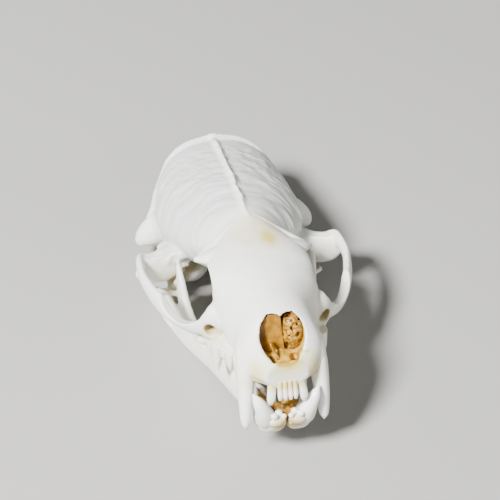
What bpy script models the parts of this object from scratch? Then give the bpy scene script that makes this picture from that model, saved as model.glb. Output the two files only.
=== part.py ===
"""A mink's skull with its lower jaw in place, resting on a table with the mouth a little open.

The shapes are drawn in the skull's own frame, in millimetres: x to the animal's left, y backwards
from the front of the upper jaw, z up from the line where the upper teeth leave the bone. The lower
jaw is drawn closed, then opened about its joint. The whole skull is at last tipped back onto its
lower jaw and its ear region, and set down in metres.
"""

import math

import bmesh
import bpy
import numpy as np
from mathutils import Matrix, Vector

# Driving sizes in millimetres, after a large male mink.
ROSTRUM_WIDTH = 15.2
ORBIT_GAP = 18.4
WAIST_WIDTH = 12.4
BRAINCASE_WIDTH = 27.0
MASTOID_WIDTH = 35.2
ARCH_WIDTH = 39.4
CREST_HEIGHT = 21.0

# Stations, back from the front of the upper jaw.
CANINE_Y = 4.8
ORBIT_Y = 21.5
HORN_Y = 26.2
WAIST_Y = 30.5
JOINT_Y = 43.0
JOINT_Z = 3.8
EAR_Y = 50.5
INION_Y = 64.0
NOSE_DEPTH = 12.0

# How the skull stands.
JAW_OPENING = math.radians(5.5)
TIP_BACK = math.radians(17.0)
TABLE_Y = 1.83
TABLE_Z = -7.80
MIDDLE_Y = 33.0
TABLE_BLOCK = 0.2

# How finely the bone is meshed.
RING_POINTS = 40
BONE_GRAIN = 0.42
BONE_SMOOTHING = 6
CRANIUM_SHARE = 0.078
JAW_SHARE = 0.09


def along(pairs, at):
    """The value at a station, on a smooth line through (station, value) pairs that never overshoots them."""
    stations, values = np.array(pairs, float).T
    steps = np.diff(stations)
    slopes = np.diff(values) / steps
    tangents = np.zeros(len(values))
    tangents[0], tangents[-1] = slopes[0], slopes[-1]
    for i in range(1, len(slopes)):
        before, after = slopes[i - 1], slopes[i]
        if before * after > 0:
            tangents[i] = 2 * before * after / (before + after)
    i = int(np.clip(np.searchsorted(stations, at) - 1, 0, len(steps) - 1))
    t = min(max((at - stations[i]) / steps[i], 0.0), 1.0)
    start = (1 + 2 * t) * (1 - t) ** 2 * values[i] + t * (1 - t) ** 2 * steps[i] * tangents[i]
    end = t * t * (3 - 2 * t) * values[i + 1] + t * t * (t - 1) * steps[i] * tangents[i + 1]
    return start + end


def smooth_path(points, count):
    """Evenly numbered points on a smooth curve through a few hand-placed ones."""
    points = np.array(points, float)
    knots = np.arange(len(points))
    return np.array(
        [
            [along(list(zip(knots, points[:, axis])), at) for axis in range(3)]
            for at in np.linspace(0, len(points) - 1, count)
        ]
    )


def mesh_object(name, bm):
    bmesh.ops.recalc_face_normals(bm, faces=bm.faces)
    mesh = bpy.data.meshes.new(name)
    bm.to_mesh(mesh)
    bm.free()
    made = bpy.data.objects.new(name, mesh)
    bpy.context.scene.collection.objects.link(made)
    return made


def loft(name, rings):
    """A closed skin over rings of points, each ring having as many points as the next."""
    bm = bmesh.new()
    rows = [[bm.verts.new(p) for p in ring] for ring in rings]
    for low, high in zip(rows, rows[1:]):
        for i in range(len(low)):
            j = (i + 1) % len(low)
            bm.faces.new((low[i], low[j], high[j], high[i]))
    for row in (rows[0], rows[-1]):
        middle = bm.verts.new(sum((v.co for v in row), Vector()) / len(row))
        for i in range(len(row)):
            bm.faces.new((row[i], row[(i + 1) % len(row)], middle))
    return mesh_object(name, bm)


def section(y, half_width, top, bottom, waist, above, below, side=0.0):
    """A rounded ring across the skull, widest at the waist; higher powers make its halves squarer."""
    ring = []
    for turn in np.linspace(0, 2 * math.pi, RING_POINTS, endpoint=False):
        across, up = math.cos(turn), math.sin(turn)
        power = 2 / (above if up > 0 else below)
        x = side + half_width * math.copysign(abs(across) ** power, across)
        reach = (top - waist) if up > 0 else (bottom - waist)
        ring.append((x, y, waist + reach * abs(up) ** power))
    return ring


def tube(name, path, widths, heights, up=(0, 0, 1), rings=16, sides=14, power=2.0):
    """A bar of oval section along a smooth path; widths and heights are half sizes at even steps of it."""
    points = smooth_path(path, rings)
    tangents = np.gradient(points, axis=0)
    wide = list(zip(np.linspace(0, 1, len(widths)), widths))
    high = list(zip(np.linspace(0, 1, len(heights)), heights))
    made = []
    for i, (point, tangent) in enumerate(zip(points, tangents)):
        ahead = Vector(tangent).normalized()
        across = ahead.cross(Vector(up)).normalized()
        over = across.cross(ahead).normalized()
        w, h = along(wide, i / (rings - 1)), along(high, i / (rings - 1))
        ring = []
        for turn in np.linspace(0, 2 * math.pi, sides, endpoint=False):
            c, s = math.cos(turn), math.sin(turn)
            c = math.copysign(abs(c) ** (2 / power), c)
            s = math.copysign(abs(s) ** (2 / power), s)
            ring.append(Vector(point) + across * (w * c) + over * (h * s))
        made.append(ring)
    return loft(name, made)


def blob(name, centre, radii, lean=(0, 0, 0), segments=24):
    """An egg of three radii, leaned by angles in degrees about x, y and z."""
    bm = bmesh.new()
    bmesh.ops.create_uvsphere(bm, u_segments=segments, v_segments=segments // 2, radius=1)
    turn = Matrix.Identity(4)
    for axis, angle in zip("XYZ", lean):
        turn = Matrix.Rotation(math.radians(angle), 4, axis) @ turn
    bm.transform(Matrix.Translation(centre) @ turn @ Matrix.Diagonal((*radii, 1)))
    return mesh_object(name, bm)


def both_sides(pieces):
    """The pieces, and a copy of each across the middle plane."""
    copies = []
    for piece in pieces:
        bm = bmesh.new()
        bm.from_mesh(piece.data)
        bm.transform(Matrix.Diagonal((-1, 1, 1, 1)))
        bmesh.ops.reverse_faces(bm, faces=bm.faces)
        copies.append(mesh_object(piece.name + "_right", bm))
    return pieces + copies


def apply_modifier(target, modifier):
    """Bakes the object's modifiers into its mesh."""
    graph = bpy.context.evaluated_depsgraph_get()
    baked = bpy.data.meshes.new_from_object(target.evaluated_get(graph))
    target.modifiers.remove(modifier)
    old, target.data = target.data, baked
    bpy.data.meshes.remove(old)


def combine(target, pieces, operation):
    """One Boolean of the target with a collection of closed pieces, which are then removed."""
    group = bpy.data.collections.new("pieces")
    bpy.context.scene.collection.children.link(group)
    for piece in pieces:
        group.objects.link(piece)
    modifier = target.modifiers.new("combine", "BOOLEAN")
    modifier.operation = operation
    modifier.operand_type = "COLLECTION"
    modifier.collection = group
    modifier.solver = "MANIFOLD"
    apply_modifier(target, modifier)
    for piece in pieces:
        bpy.data.meshes.remove(piece.data)
    bpy.data.collections.remove(group)


def largest_surface(target):
    """Keeps only the biggest closed surface of the mesh."""
    bm = bmesh.new()
    bm.from_mesh(target.data)
    left = set(bm.verts)
    groups = []
    while left:
        front = [left.pop()]
        group = set(front)
        while front:
            for edge in front.pop().link_edges:
                for vert in edge.verts:
                    if vert in left:
                        left.remove(vert)
                        group.add(vert)
                        front.append(vert)
        groups.append(group)
    groups.sort(key=len)
    for group in groups[:-1]:
        bmesh.ops.delete(bm, geom=list(group), context="VERTS")
    bm.to_mesh(target.data)
    bm.free()


def grow_together(target, grain, smoothing, share):
    """Melts the joined pieces into one smooth bone of even grain, then thins its mesh to a share of its triangles."""
    remesh = target.modifiers.new("grain", "REMESH")
    remesh.mode = "VOXEL"
    remesh.voxel_size = grain
    smooth = target.modifiers.new("smooth", "SMOOTH")
    smooth.factor = 0.5
    smooth.iterations = smoothing
    graph = bpy.context.evaluated_depsgraph_get()
    baked = bpy.data.meshes.new_from_object(target.evaluated_get(graph))
    target.modifiers.clear()
    target.data = baked
    largest_surface(target)
    if share < 1:
        thin = target.modifiers.new("thin", "DECIMATE")
        thin.ratio = share
        thin.use_collapse_triangulate = True
        apply_modifier(target, thin)


# The upper skull: (station, value) pairs along its length.
HALF_WIDTH = (
    (0.5, 3.6),
    (2.0, 5.4),
    (CANINE_Y, ROSTRUM_WIDTH / 2 - 0.4),
    (9.0, 7.3),
    (13.0, 8.3),
    (17.0, 9.2),
    (ORBIT_Y, ORBIT_GAP / 2),
    (24.4, 8.5),
    (HORN_Y, 7.8),
    (28.4, 6.7),
    (WAIST_Y, WAIST_WIDTH / 2),
    (34.0, 8.0),
    (38.5, 10.7),
    (44.0, 12.7),
    (50.0, BRAINCASE_WIDTH / 2),
    (55.0, 12.9),
    (59.5, 12.1),
    (62.4, 11.1),
    (64.2, 9.6),
    (65.1, 7.4),
    (65.6, 4.8),
)
ROOF = (
    (0.5, 3.9),
    (1.6, 5.6),
    (4.4, 11.3),
    (7.0, 12.9),
    (12.0, 14.4),
    (18.0, 15.9),
    (HORN_Y, 17.3),
    (WAIST_Y, 18.3),
    (38.0, 19.4),
    (46.0, 20.2),
    (55.0, 20.2),
    (60.0, 20.2),
    (63.6, 19.8),
    (64.7, 18.2),
    (65.6, 14.4),
)
FLOOR = ((0.5, 0.5), (6.0, 1.4), (24.0, 1.8), (30.0, 4.0), (36.0, 4.2), (44.0, 3.0), (62.0, 3.4), (65.6, 6.0))
WIDEST_Z = (
    (0.5, 2.0),
    (CANINE_Y, 3.2),
    (11.0, 5.0),
    (16.0, 9.0),
    (20.0, 12.2),
    (26.0, 12.9),
    (28.4, 12.8),
    (32.0, 12.0),
    (40.0, 10.5),
    (55.0, 10.0),
    (65.6, 10.0),
)
ABOVE_POWER = (
    (0.5, 2.2),
    (10.0, 2.1),
    (18.0, 2.0),
    (28.0, 1.8),
    (33.0, 1.65),
    (40.0, 1.65),
    (50.0, 1.8),
    (58.0, 2.0),
    (62.0, 2.3),
    (66.0, 2.4),
)
BELOW_POWER = (
    (0.5, 3.0),
    (10.0, 3.0),
    (16.0, 2.6),
    (20.0, 1.6),
    (23.0, 1.25),
    (31.0, 1.35),
    (38.0, 2.0),
    (66.0, 2.3),
)

# The tooth-bearing edge of the upper jaw.
GUM_HALF_WIDTH = (
    (0.6, 3.2),
    (2.0, 4.6),
    (CANINE_Y, ROSTRUM_WIDTH / 2),
    (8.5, 7.3),
    (13.0, 8.4),
    (17.0, 9.8),
    (21.0, 10.6),
    (23.6, 9.4),
    (25.5, 5.2),
)
GUM_EDGE = ((0.6, -0.4), (3.0, -0.5), (6.0, 0.0), (10.0, 0.3), (25.5, 0.3))


def braincase_and_snout():
    rings = [
        section(
            y,
            along(HALF_WIDTH, y),
            along(ROOF, y),
            along(FLOOR, y),
            along(WIDEST_Z, y),
            along(ABOVE_POWER, y),
            along(BELOW_POWER, y),
        )
        for y in np.linspace(0.5, 65.6, 70)
    ]
    return loft("core", rings)


def gum_edge():
    rings = [
        section(y, along(GUM_HALF_WIDTH, y), 5.0, along(GUM_EDGE, y), 2.4, 2.0, 3.0) for y in np.linspace(0.6, 25.5, 30)
    ]
    return loft("gum_edge", rings)


def palate_end():
    """The palate's narrow rear half and the throat's bony roof behind it."""
    rings = [section(y, 3.9, 7.0, 1.6, 3.4, 2.0, 3.5) for y in np.linspace(22.0, 33.0, 6)]
    return loft("palate_end", rings)


def pterygoid():
    """One of the two thin plates that end in a hook behind the palate."""
    path = ((3.4, 29.0, 3.6), (3.3, 33.0, 2.6), (3.4, 36.0, 1.4), (3.9, 38.6, 0.2))
    return tube("pterygoid", path, (0.8, 0.7, 0.6, 0.4), (3.0, 2.4, 1.8, 0.6), rings=12)


def cheek_root():
    """The swelling of the upper jaw that the cheek arch springs from, under the front of the eye."""
    return blob("cheek_root", (9.0, 17.8, 5.2), (3.0, 3.4, 4.2), (18, 0, -20))


def cheek_arch():
    half = ARCH_WIDTH / 2
    path = (
        (8.4, 17.6, 5.4),
        (12.4, 19.4, 4.8),
        (15.8, 24.0, 4.9),
        (half - 1.7, 30.0, 5.7),
        (half - 0.8, 35.5, 6.7),
        (half - 1.1, 40.4, 6.9),
        (half - 3.2, 43.4, 5.4),
        (12.6, 45.2, 5.0),
    )
    widths = (2.6, 1.7, 1.0, 0.85, 0.75, 0.8, 1.2, 2.0)
    heights = (3.2, 2.6, 2.2, 1.8, 1.5, 1.4, 1.5, 1.9)
    return tube("cheek_arch", path, widths, heights, rings=30)


def joint_socket():
    """The block over the lower jaw's joint, its lip behind, its plate in front and the shelf above."""
    path = ((9.4, 43.8, 5.0), (13.0, 43.6, 4.9), (16.6, 43.2, 4.9))
    block = tube("joint_block", path, (2.4, 2.5, 2.1), (2.2, 2.2, 1.9), rings=8, power=3.0)
    path = ((9.2, 45.9, 4.4), (12.6, 46.1, 3.0), (15.8, 45.4, 3.8))
    lip = tube("joint_lip", path, (0.9, 0.9, 0.7), (2.2, 2.6, 1.6), rings=10)
    path = ((9.8, 41.6, 6.4), (12.4, 41.2, 5.5), (14.8, 40.7, 5.0), (16.6, 40.4, 5.1), (18.8, 40.0, 6.4))
    plate = tube("joint_plate", path, (0.75,) * 5, (2.2, 2.7, 2.8, 2.7, 1.8), rings=16)
    path = ((7.4, 42.6, 8.8), (11.4, 42.8, 7.2), (15.0, 42.4, 6.2), (18.0, 41.4, 6.8))
    shelf = tube("cheek_shelf", path, (3.6, 3.2, 2.2, 1.0), (2.2, 1.8, 1.4, 1.0), rings=12)
    return [block, lip, plate, shelf]


def orbit_horn():
    """The pointed horn of bone over the back of the eye."""
    return tube(
        "orbit_horn",
        ((5.6, 24.6, 14.2), (8.2, 25.5, 13.5), (10.5, 26.5, 12.9)),
        (2.6, 1.9, 0.6),
        (1.6, 1.2, 0.6),
        rings=10,
    )


def canine_root_swelling():
    return tube(
        "canine_root",
        ((6.2, CANINE_Y, 0.8), (6.1, 5.8, 4.5), (5.9, 8.4, 9.0)),
        (1.75, 1.7, 1.2),
        (2.1, 2.1, 1.4),
        up=(0, 1, 0.3),
        rings=10,
    )


def ear_bulla():
    return blob("ear_bulla", (7.4, 51.5, 2.1), (4.0, 8.0, 4.0), (4, 0, 14))


def mastoid():
    return tube(
        "mastoid",
        ((10.6, 53.4, 8.0), (13.6, 54.8, 6.4), (15.6, 55.6, 4.8), (MASTOID_WIDTH / 2 - 0.9, 56.0, 3.6)),
        (3.2, 2.5, 1.8, 0.9),
        (3.8, 2.9, 2.0, 1.0),
        rings=12,
    )


def ear_canal_rim():
    return blob("ear_canal_rim", (11.4, EAR_Y - 1.3, 4.4), (3.2, 2.3, 2.2))


def throat_process():
    path = ((8.4, 59.0, 4.4), (9.8, 60.6, 2.2), (10.2, 61.0, 0.0))
    return tube("throat_process", path, (1.8, 1.4, 0.7), (1.4, 1.1, 0.7), rings=8)


def neck_condyle():
    return blob("neck_condyle", (4.6, 64.4, 6.0), (2.6, 2.2, 3.0), (0, 25, -20))


def neck_crest():
    """The low ridge round the back of the skull, from its top to the mastoid."""
    path = (
        (0.0, INION_Y + 0.2, CREST_HEIGHT - 1.2),
        (4.5, INION_Y + 0.2, 18.7),
        (7.9, 63.6, 16.6),
        (10.1, 62.0, 13.8),
        (11.7, 59.8, 11.6),
        (12.9, 57.8, 9.4),
        (14.2, 56.4, 7.0),
    )
    widths = (1.5, 1.5, 1.5, 1.4, 1.3, 1.2, 1.2)
    heights = (0.6, 0.6, 0.6, 0.7, 0.8, 0.9, 0.9)
    return tube("neck_crest", path, widths, heights, (0, 1, 0.2), 26)


def top_crest():
    path = (
        (0.0, 31.0, 17.6),
        (0.0, 34.0, 18.5),
        (0.0, 42.0, 19.9),
        (0.0, 52.0, CREST_HEIGHT - 0.6),
        (0.0, 60.0, CREST_HEIGHT - 0.9),
        (0.0, INION_Y + 0.2, CREST_HEIGHT - 1.6),
    )
    widths = (0.4, 0.45, 0.5, 0.55, 0.6, 0.8)
    return tube("top_crest", path, widths, (0.5, 0.8, 1.0, 1.1, 1.2, 1.2), rings=24)


def temple_line():
    """The low ridge from the orbit horn back to the top crest."""
    path = ((9.6, 26.6, 13.2), (5.2, 29.0, 15.7), (2.4, 30.5, 17.3), (0.0, 32.4, 18.2))
    return tube("temple_line", path, (0.8, 0.7, 0.6, 0.5), (0.4, 0.4, 0.5, 0.5), rings=12)


def nose_opening():
    """One lobe of the heart-shaped opening of the nose, and its passage beside the septum."""
    path = ((1.7, 1.4, 7.8), (1.8, 6.0, 7.5), (2.0, 10.0, 7.4), (2.0, NOSE_DEPTH, 7.2))
    return [
        blob("nose_hole", (1.3, 4.4, 7.95), (2.6, 5.4, 3.6), (10, 0, 0)),
        tube("nose_passage", path, (1.6, 1.6, 1.5, 0.9), (3.2, 3.3, 3.1, 1.6), rings=10),
    ]


def joint_space():
    """What is cut away so that the lower jaw can turn in its socket."""
    path = ((7.6, JOINT_Y, JOINT_Z), (18.4, JOINT_Y, JOINT_Z))
    trough = tube("joint_trough", path, (1.85, 1.85), (1.85, 1.85), rings=4, sides=20)
    return [trough, blob("jaw_path", (12.4, 37.9, 5.2), (1.6, 2.6, 5.4))]


def cranium_cutters():
    orbit = blob("orbit", (12.8, ORBIT_Y + 0.6, 8.9), (6.8, 6.2, 5.2), (0, 0, -18))
    path = ((10.8, 12.4, 3.8), (10.2, 15.2, 4.3), (9.6, 18.4, 5.6), (9.8, 21.5, 7.0))
    infraorbital = tube("infraorbital", path, (1.3, 1.2, 0.8, 0.9), (1.5, 1.4, 1.1, 1.2), rings=8)
    ear = tube("ear_canal", ((17.5, 49.0, 3.6), (10.2, EAR_Y - 0.6, 4.6)), (1.1, 1.0), (1.2, 1.1), rings=4)
    neck_hole = blob("neck_hole", (0, 66.0, 7.4), (3.7, 5.6, 3.2))
    throat = blob("throat", (0, 34.5, 1.4), (2.5, 7.0, 2.6))
    nose_floor = blob("nose_floor", (0.0, 2.4, 6.5), (2.7, 2.9, 2.1), (22, 0, 0))
    sides = both_sides([orbit, infraorbital, ear, *nose_opening(), *joint_space()])
    return sides + [nose_floor, neck_hole, throat]


def upper_canine():
    path = ((6.15, 6.2, 4.0), (6.3, CANINE_Y, 0.6), (6.7, 3.7, -4.2), (6.85, 3.7, -9.1))
    return tube("upper_canine", path, (1.3, 1.6, 1.1, 0.18), (1.7, 2.0, 1.4, 0.2), up=(0, 1, 0), rings=12, sides=10)


def upper_incisors():
    made = []
    for name, root_x, tip_x, y, tip_z, half in UPPER_INCISORS:
        middle = (0.4 * root_x + 0.6 * tip_x, y - 0.4, tip_z * 0.6)
        path = ((root_x, y + 1.0, 2.0), (root_x, y + 0.1, 0.2), middle, (tip_x, y, tip_z))
        widths = (half, half, half * 0.95, half * 0.5)
        made.append(tube(name, path, widths, (0.7, 0.75, 0.6, 0.2), (0, 1, 0), 7, 8))
    return made


def cusps(teeth):
    """Tooth cusps: flattened cones, their roots sunk in the bone."""
    made = []
    for name, x, y, root, tip, half_width, half_length, lean in teeth:
        path = ((x, y, root), (x, y, root + (tip - root) * 0.55), (x, y + lean, tip))
        widths = (half_width, half_width * 0.85, 0.15)
        lengths = (half_length, half_length * 0.72, 0.18)
        made.append(tube(name, path, widths, lengths, (0, 1, 0), 7, 10))
    return made


def crowns(teeth):
    """Low rounded crowns."""
    return [blob(name, centre, radii, segments=14) for name, centre, radii in teeth]


# Teeth. Incisors: x at the root, x at the tip, station, height of the tip, half width.
UPPER_INCISORS = (
    ("upper_incisor_1", 0.44, 0.44, 0.5, -2.9, 0.41),
    ("upper_incisor_2", 1.29, 1.27, 0.6, -2.9, 0.42),
    ("upper_incisor_3", 2.85, 2.35, 1.3, -3.4, 0.70),
)
LOWER_INCISORS = (
    ("lower_incisor_1", 0.60, 0.60, 0.5, -1.2, 0.44),
    ("lower_incisor_2", 1.35, 1.35, 1.4, -0.9, 0.52),
    ("lower_incisor_3", 2.20, 2.35, 0.7, -1.0, 0.62),
)
# Cusps: x, station, height of root and tip, half width, half length, lean of the tip backwards.
UPPER_CUSPS = (
    ("upper_premolar_2", 6.9, 8.9, 2.0, -1.4, 0.75, 1.25, 0.0),
    ("upper_premolar_3", 7.6, 11.8, 2.0, -2.1, 0.90, 1.70, 0.0),
    ("carnassial_front", 9.3, 15.3, 2.2, -3.6, 1.10, 2.30, -0.3),
    ("carnassial_rear", 9.7, 18.3, 2.2, -2.0, 1.00, 2.00, 0.3),
    ("carnassial_inner", 7.9, 13.7, 2.0, -1.1, 1.20, 1.10, 0.0),
)
LOWER_CUSPS = (
    ("lower_premolar_2", 4.0, 8.6, -3.6, -0.6, 0.70, 1.10, 0.0),
    ("lower_premolar_3", 4.6, 11.4, -3.6, 0.1, 0.80, 1.50, 0.0),
    ("lower_premolar_4", 5.5, 14.6, -3.4, 0.7, 0.90, 1.80, 0.0),
    ("lower_molar_1_front", 6.4, 17.8, -3.2, 0.6, 0.90, 1.80, 0.0),
    ("lower_molar_1_main", 7.0, 20.0, -3.2, 1.3, 0.95, 1.90, 0.2),
    ("lower_molar_1_heel", 7.7, 22.6, -3.2, -0.7, 1.00, 1.70, 0.0),
)
# Crowns: middle, half sizes.
UPPER_CROWNS = (
    ("upper_molar_outer", (10.3, 21.2, 0.3), (1.5, 1.35, 1.5)),
    ("upper_molar_middle", (8.7, 21.4, 0.4), (1.6, 0.95, 1.3)),
    ("upper_molar_inner", (6.9, 21.6, 0.3), (1.4, 1.7, 1.4)),
)
LOWER_CROWNS = (("lower_molar_2", (8.4, 25.4, -1.5), (0.95, 1.05, 0.9)),)

# The lower jaw, closed: (station, value) pairs along it.
JAW_BASE = (
    (1.0, -4.6),
    (1.7, -5.9),
    (3.5, -7.0),
    (8.0, -7.6),
    (16.0, -8.1),
    (23.0, -8.0),
    (29.0, -7.5),
    (35.0, -6.6),
    (40.0, -5.6),
    (44.0, -4.6),
    (46.6, -3.6),
)
JAW_TOP = (
    (1.0, -2.9),
    (4.0, -2.4),
    (12.0, -2.1),
    (20.0, -1.7),
    (26.0, -1.4),
    (29.0, -0.8),
    (31.0, -0.6),
    (34.0, -0.9),
    (38.0, -0.8),
    (41.0, 0.0),
    (43.8, -0.8),
    (44.8, -1.8),
    (46.6, -2.8),
)
JAW_SIDE = (
    (1.0, 1.6),
    (3.0, 2.4),
    (6.0, 2.6),
    (9.0, 3.1),
    (13.0, 4.4),
    (16.0, 5.3),
    (20.0, 6.5),
    (25.0, 8.1),
    (28.0, 9.6),
    (31.0, 11.2),
    (34.0, 12.4),
    (38.0, 13.4),
    (42.0, 13.9),
    (46.6, 14.2),
)
JAW_HALF_WIDTH = (
    (1.0, 1.4),
    (3.0, 2.2),
    (6.0, 2.5),
    (9.0, 2.4),
    (13.0, 1.8),
    (16.0, 1.7),
    (25.0, 1.6),
    (28.0, 1.3),
    (32.0, 0.8),
    (39.0, 0.75),
    (42.0, 0.9),
    (46.6, 0.7),
)
# How far the jaw's rear half leans outward, per millimetre below its middle.
JAW_LEAN = ((1.0, 0.0), (29.0, 0.0), (34.0, -0.03), (38.0, -0.16), (42.0, -0.10), (46.6, 0.0))
JAW_MIDDLE_Z = -4.0

# The blade behind the teeth, station by station.
BLADE_SIDE = ((29.2, 10.6), (30.4, 11.3), (31.6, 11.8), (32.8, 12.1), (34.0, 12.3), (35.2, 12.4), (41.0, 12.4))
BLADE_FOOT = ((29.2, -3.0), (30.4, -2.4), (31.6, -2.0), (41.0, -2.0))
BLADE_TOP = (
    (29.2, 0.6),
    (30.4, 2.6),
    (31.6, 5.0),
    (32.8, 7.4),
    (34.0, 8.9),
    (35.2, 9.6),
    (36.4, 9.2),
    (37.6, 7.6),
    (38.8, 5.0),
    (40.0, 2.6),
    (41.0, 1.4),
)
BLADE_HALF_WIDTH = 0.55


def jaw_body():
    rings = []
    for y in np.linspace(1.0, 46.6, 64):
        base, top = along(JAW_BASE, y), along(JAW_TOP, y)
        half, lean = along(JAW_HALF_WIDTH, y), along(JAW_LEAN, y)
        ring = section(y, half, top, base, (base + top) / 2, 2.6, 2.6, along(JAW_SIDE, y))
        rings.append([(x + lean * (z - JAW_MIDDLE_Z), at, z) for x, at, z in ring])
    return loft("jaw_body", rings)


def coronoid_blade():
    """The blade that stands up behind the teeth, with its thick front and rear edges."""
    rings = []
    for y in np.linspace(BLADE_TOP[0][0], BLADE_TOP[-1][0], 30):
        foot, top = along(BLADE_FOOT, y), along(BLADE_TOP, y)
        rings.append(section(y, BLADE_HALF_WIDTH, top, foot, (foot + top) / 2, 3.0, 3.0, along(BLADE_SIDE, y)))
    front = ((9.4, 26.8, -3.0), (10.7, 28.9, -0.8), (11.7, 31.2, 3.2), (12.2, 33.2, 7.4), (12.4, 35.0, 9.3))
    front_widths = (1.1, 0.9, 0.75, 0.7, 0.6)
    rear = ((12.4, 36.6, 9.0), (12.4, 38.0, 6.6), (12.4, 39.2, 3.8), (12.4, 41.0, 1.4))
    return [
        loft("blade", rings),
        tube("blade_front", front, front_widths, (0.9, 0.8, 0.7, 0.65, 0.6), up=(0, 1, 0), rings=20),
        tube("blade_rear", rear, (0.6, 0.65, 0.7, 0.8), (0.5, 0.55, 0.6, 0.7), up=(0, 1, 0)),
    ]


def jaw_foot():
    """The rounded lower edge of the jaw under the chewing muscle, and the hook at its rear corner."""
    path = ((10.2, 30.0, -6.2), (12.0, 35.0, -5.6), (13.9, 40.0, -4.6), (14.4, 43.6, -3.8), (14.3, 46.3, -3.2))
    return tube("jaw_foot", path, (1.1, 1.2, 1.2, 1.0, 0.6), (1.2, 1.1, 1.0, 0.9, 0.6), rings=14)


def jaw_joint():
    """The cross bar that turns in the socket, its neck, and the rim that carries the neck forward."""
    bar = ((10.0, JOINT_Y + 0.2, JOINT_Z - 0.2), (13.6, JOINT_Y, JOINT_Z), (16.9, JOINT_Y - 0.2, JOINT_Z - 0.1))
    neck = ((12.3, 43.0, 3.0), (12.3, 42.7, 0.8), (13.2, 42.2, -2.0))
    rim = ((12.4, 38.4, 0.9), (14.2, 40.2, 0.6), (15.6, 42.2, 0.1), (15.2, 44.2, -1.2))
    return [
        tube("jaw_condyle", bar, (0.9, 1.35, 0.8), (0.9, 1.35, 0.8), rings=9),
        tube("condyle_neck", neck, (1.6, 1.3, 0.9), (0.9, 0.9, 0.9), up=(0, 1, 0), rings=9),
        tube("bowl_rim", rim, (0.7, 0.7, 0.7, 0.6), (0.65, 0.65, 0.65, 0.6), rings=12),
    ]


def tooth_bed():
    """The low ridge of bone that holds the lower incisors."""
    return blob("tooth_bed", (1.75, 1.7, -2.85), (1.75, 1.3, 0.95))


def muscle_hollow():
    """The hollow where the chewing muscle held."""
    return blob("muscle_hollow", (15.9, 36.4, -0.4), (2.9, 5.0, 3.4), (0, 0, -14))


def lower_canine():
    path = ((2.9, 6.5, -5.8), (3.5, 2.9, -3.6), (4.15, 1.7, -0.4), (4.75, 1.5, 1.5), (5.2, 1.6, 3.2))
    widths = (1.2, 1.6, 1.15, 0.85, 0.2)
    return tube("lower_canine", path, widths, (1.6, 1.8, 1.25, 0.9, 0.2), up=(0, 1, 0.4), rings=14, sides=10)


def lower_incisors():
    made = []
    for name, root_x, tip_x, y, tip_z, half in LOWER_INCISORS:
        neck = ((root_x, y + 0.5, tip_z - 1.2), (tip_x, y + 0.1, tip_z - 0.4))
        path = ((root_x, y + 1.4, -4.6), *neck, (tip_x, y, tip_z))
        widths = (half * 0.7, half * 0.85, half, half * 0.4)
        made.append(tube(name, path, widths, (0.5, 0.6, half, half * 0.4), (0, 1, 0), 8, 8))
    return made


def stand_on_table(pieces):
    """Cuts each piece off level with the table, which leaves small flats where it touches."""
    for piece in pieces:
        bm = bmesh.new()
        bmesh.ops.create_cube(bm, size=1)
        bm.transform(Matrix.Translation((0, 0, -TABLE_BLOCK / 2)) @ Matrix.Scale(TABLE_BLOCK, 4))
        combine(piece, [mesh_object("table", bm)], "DIFFERENCE")


def to_table(open_jaw):
    """From the skull's frame in millimetres to the table's in metres, the jaw opened about its joint."""
    place = Matrix.Identity(4)
    if open_jaw:
        hinge = Matrix.Translation((0, JOINT_Y, JOINT_Z))
        place = hinge @ Matrix.Rotation(JAW_OPENING, 4, "X") @ hinge.inverted()
    tip = Matrix.Rotation(-TIP_BACK, 4, "X") @ Matrix.Translation((0, -MIDDLE_Y, 0))
    scale = Matrix.Diagonal((0.001, 0.001, 0.001, 1))
    return scale @ Matrix.Translation((0, -TABLE_Y, -TABLE_Z)) @ tip @ place


def painted(target, name, colour, roughness):
    material = bpy.data.materials.new(name)
    material.use_nodes = True
    shader = material.node_tree.nodes["Principled BSDF"]
    shader.inputs["Base Color"].default_value = (*colour, 1)
    shader.inputs["Roughness"].default_value = roughness
    target.data.materials.clear()
    target.data.materials.append(material)


def cranium():
    core = braincase_and_snout()
    paired = [
        pterygoid(),
        cheek_root(),
        cheek_arch(),
        *joint_socket(),
        orbit_horn(),
        canine_root_swelling(),
        ear_bulla(),
        mastoid(),
        ear_canal_rim(),
        throat_process(),
        neck_condyle(),
        neck_crest(),
        temple_line(),
    ]
    combine(core, both_sides(paired) + [gum_edge(), palate_end(), top_crest()], "UNION")
    combine(core, cranium_cutters(), "DIFFERENCE")
    grow_together(core, BONE_GRAIN, BONE_SMOOTHING, CRANIUM_SHARE)
    teeth = both_sides([upper_canine(), *upper_incisors(), *cusps(UPPER_CUSPS), *crowns(UPPER_CROWNS)])
    combine(core, teeth, "UNION")
    largest_surface(core)
    core.name = "cranium"
    return core


def jaw_half():
    body = jaw_body()
    combine(body, [*coronoid_blade(), jaw_foot(), *jaw_joint(), tooth_bed()], "UNION")
    combine(body, [muscle_hollow()], "DIFFERENCE")
    grow_together(body, BONE_GRAIN, BONE_SMOOTHING, JAW_SHARE)
    teeth = [lower_canine(), *lower_incisors(), *cusps(LOWER_CUSPS), *crowns(LOWER_CROWNS)]
    combine(body, teeth, "UNION")
    largest_surface(body)
    body.name = "jaw_left"
    return body


def main():
    for old in list(bpy.data.objects):
        bpy.data.objects.remove(old)
    upper = cranium()
    lower = jaw_half()
    other = both_sides([lower])[1]
    other.name = "jaw_right"
    upper.data.transform(to_table(False))
    for half in (lower, other):
        half.data.transform(to_table(True))
    stand_on_table((upper, lower, other))
    for piece in (upper, lower, other):
        painted(piece, piece.name + "_bone", (0.86, 0.84, 0.76), 0.55)
        print(piece.name, len(piece.data.polygons))


main()
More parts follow.
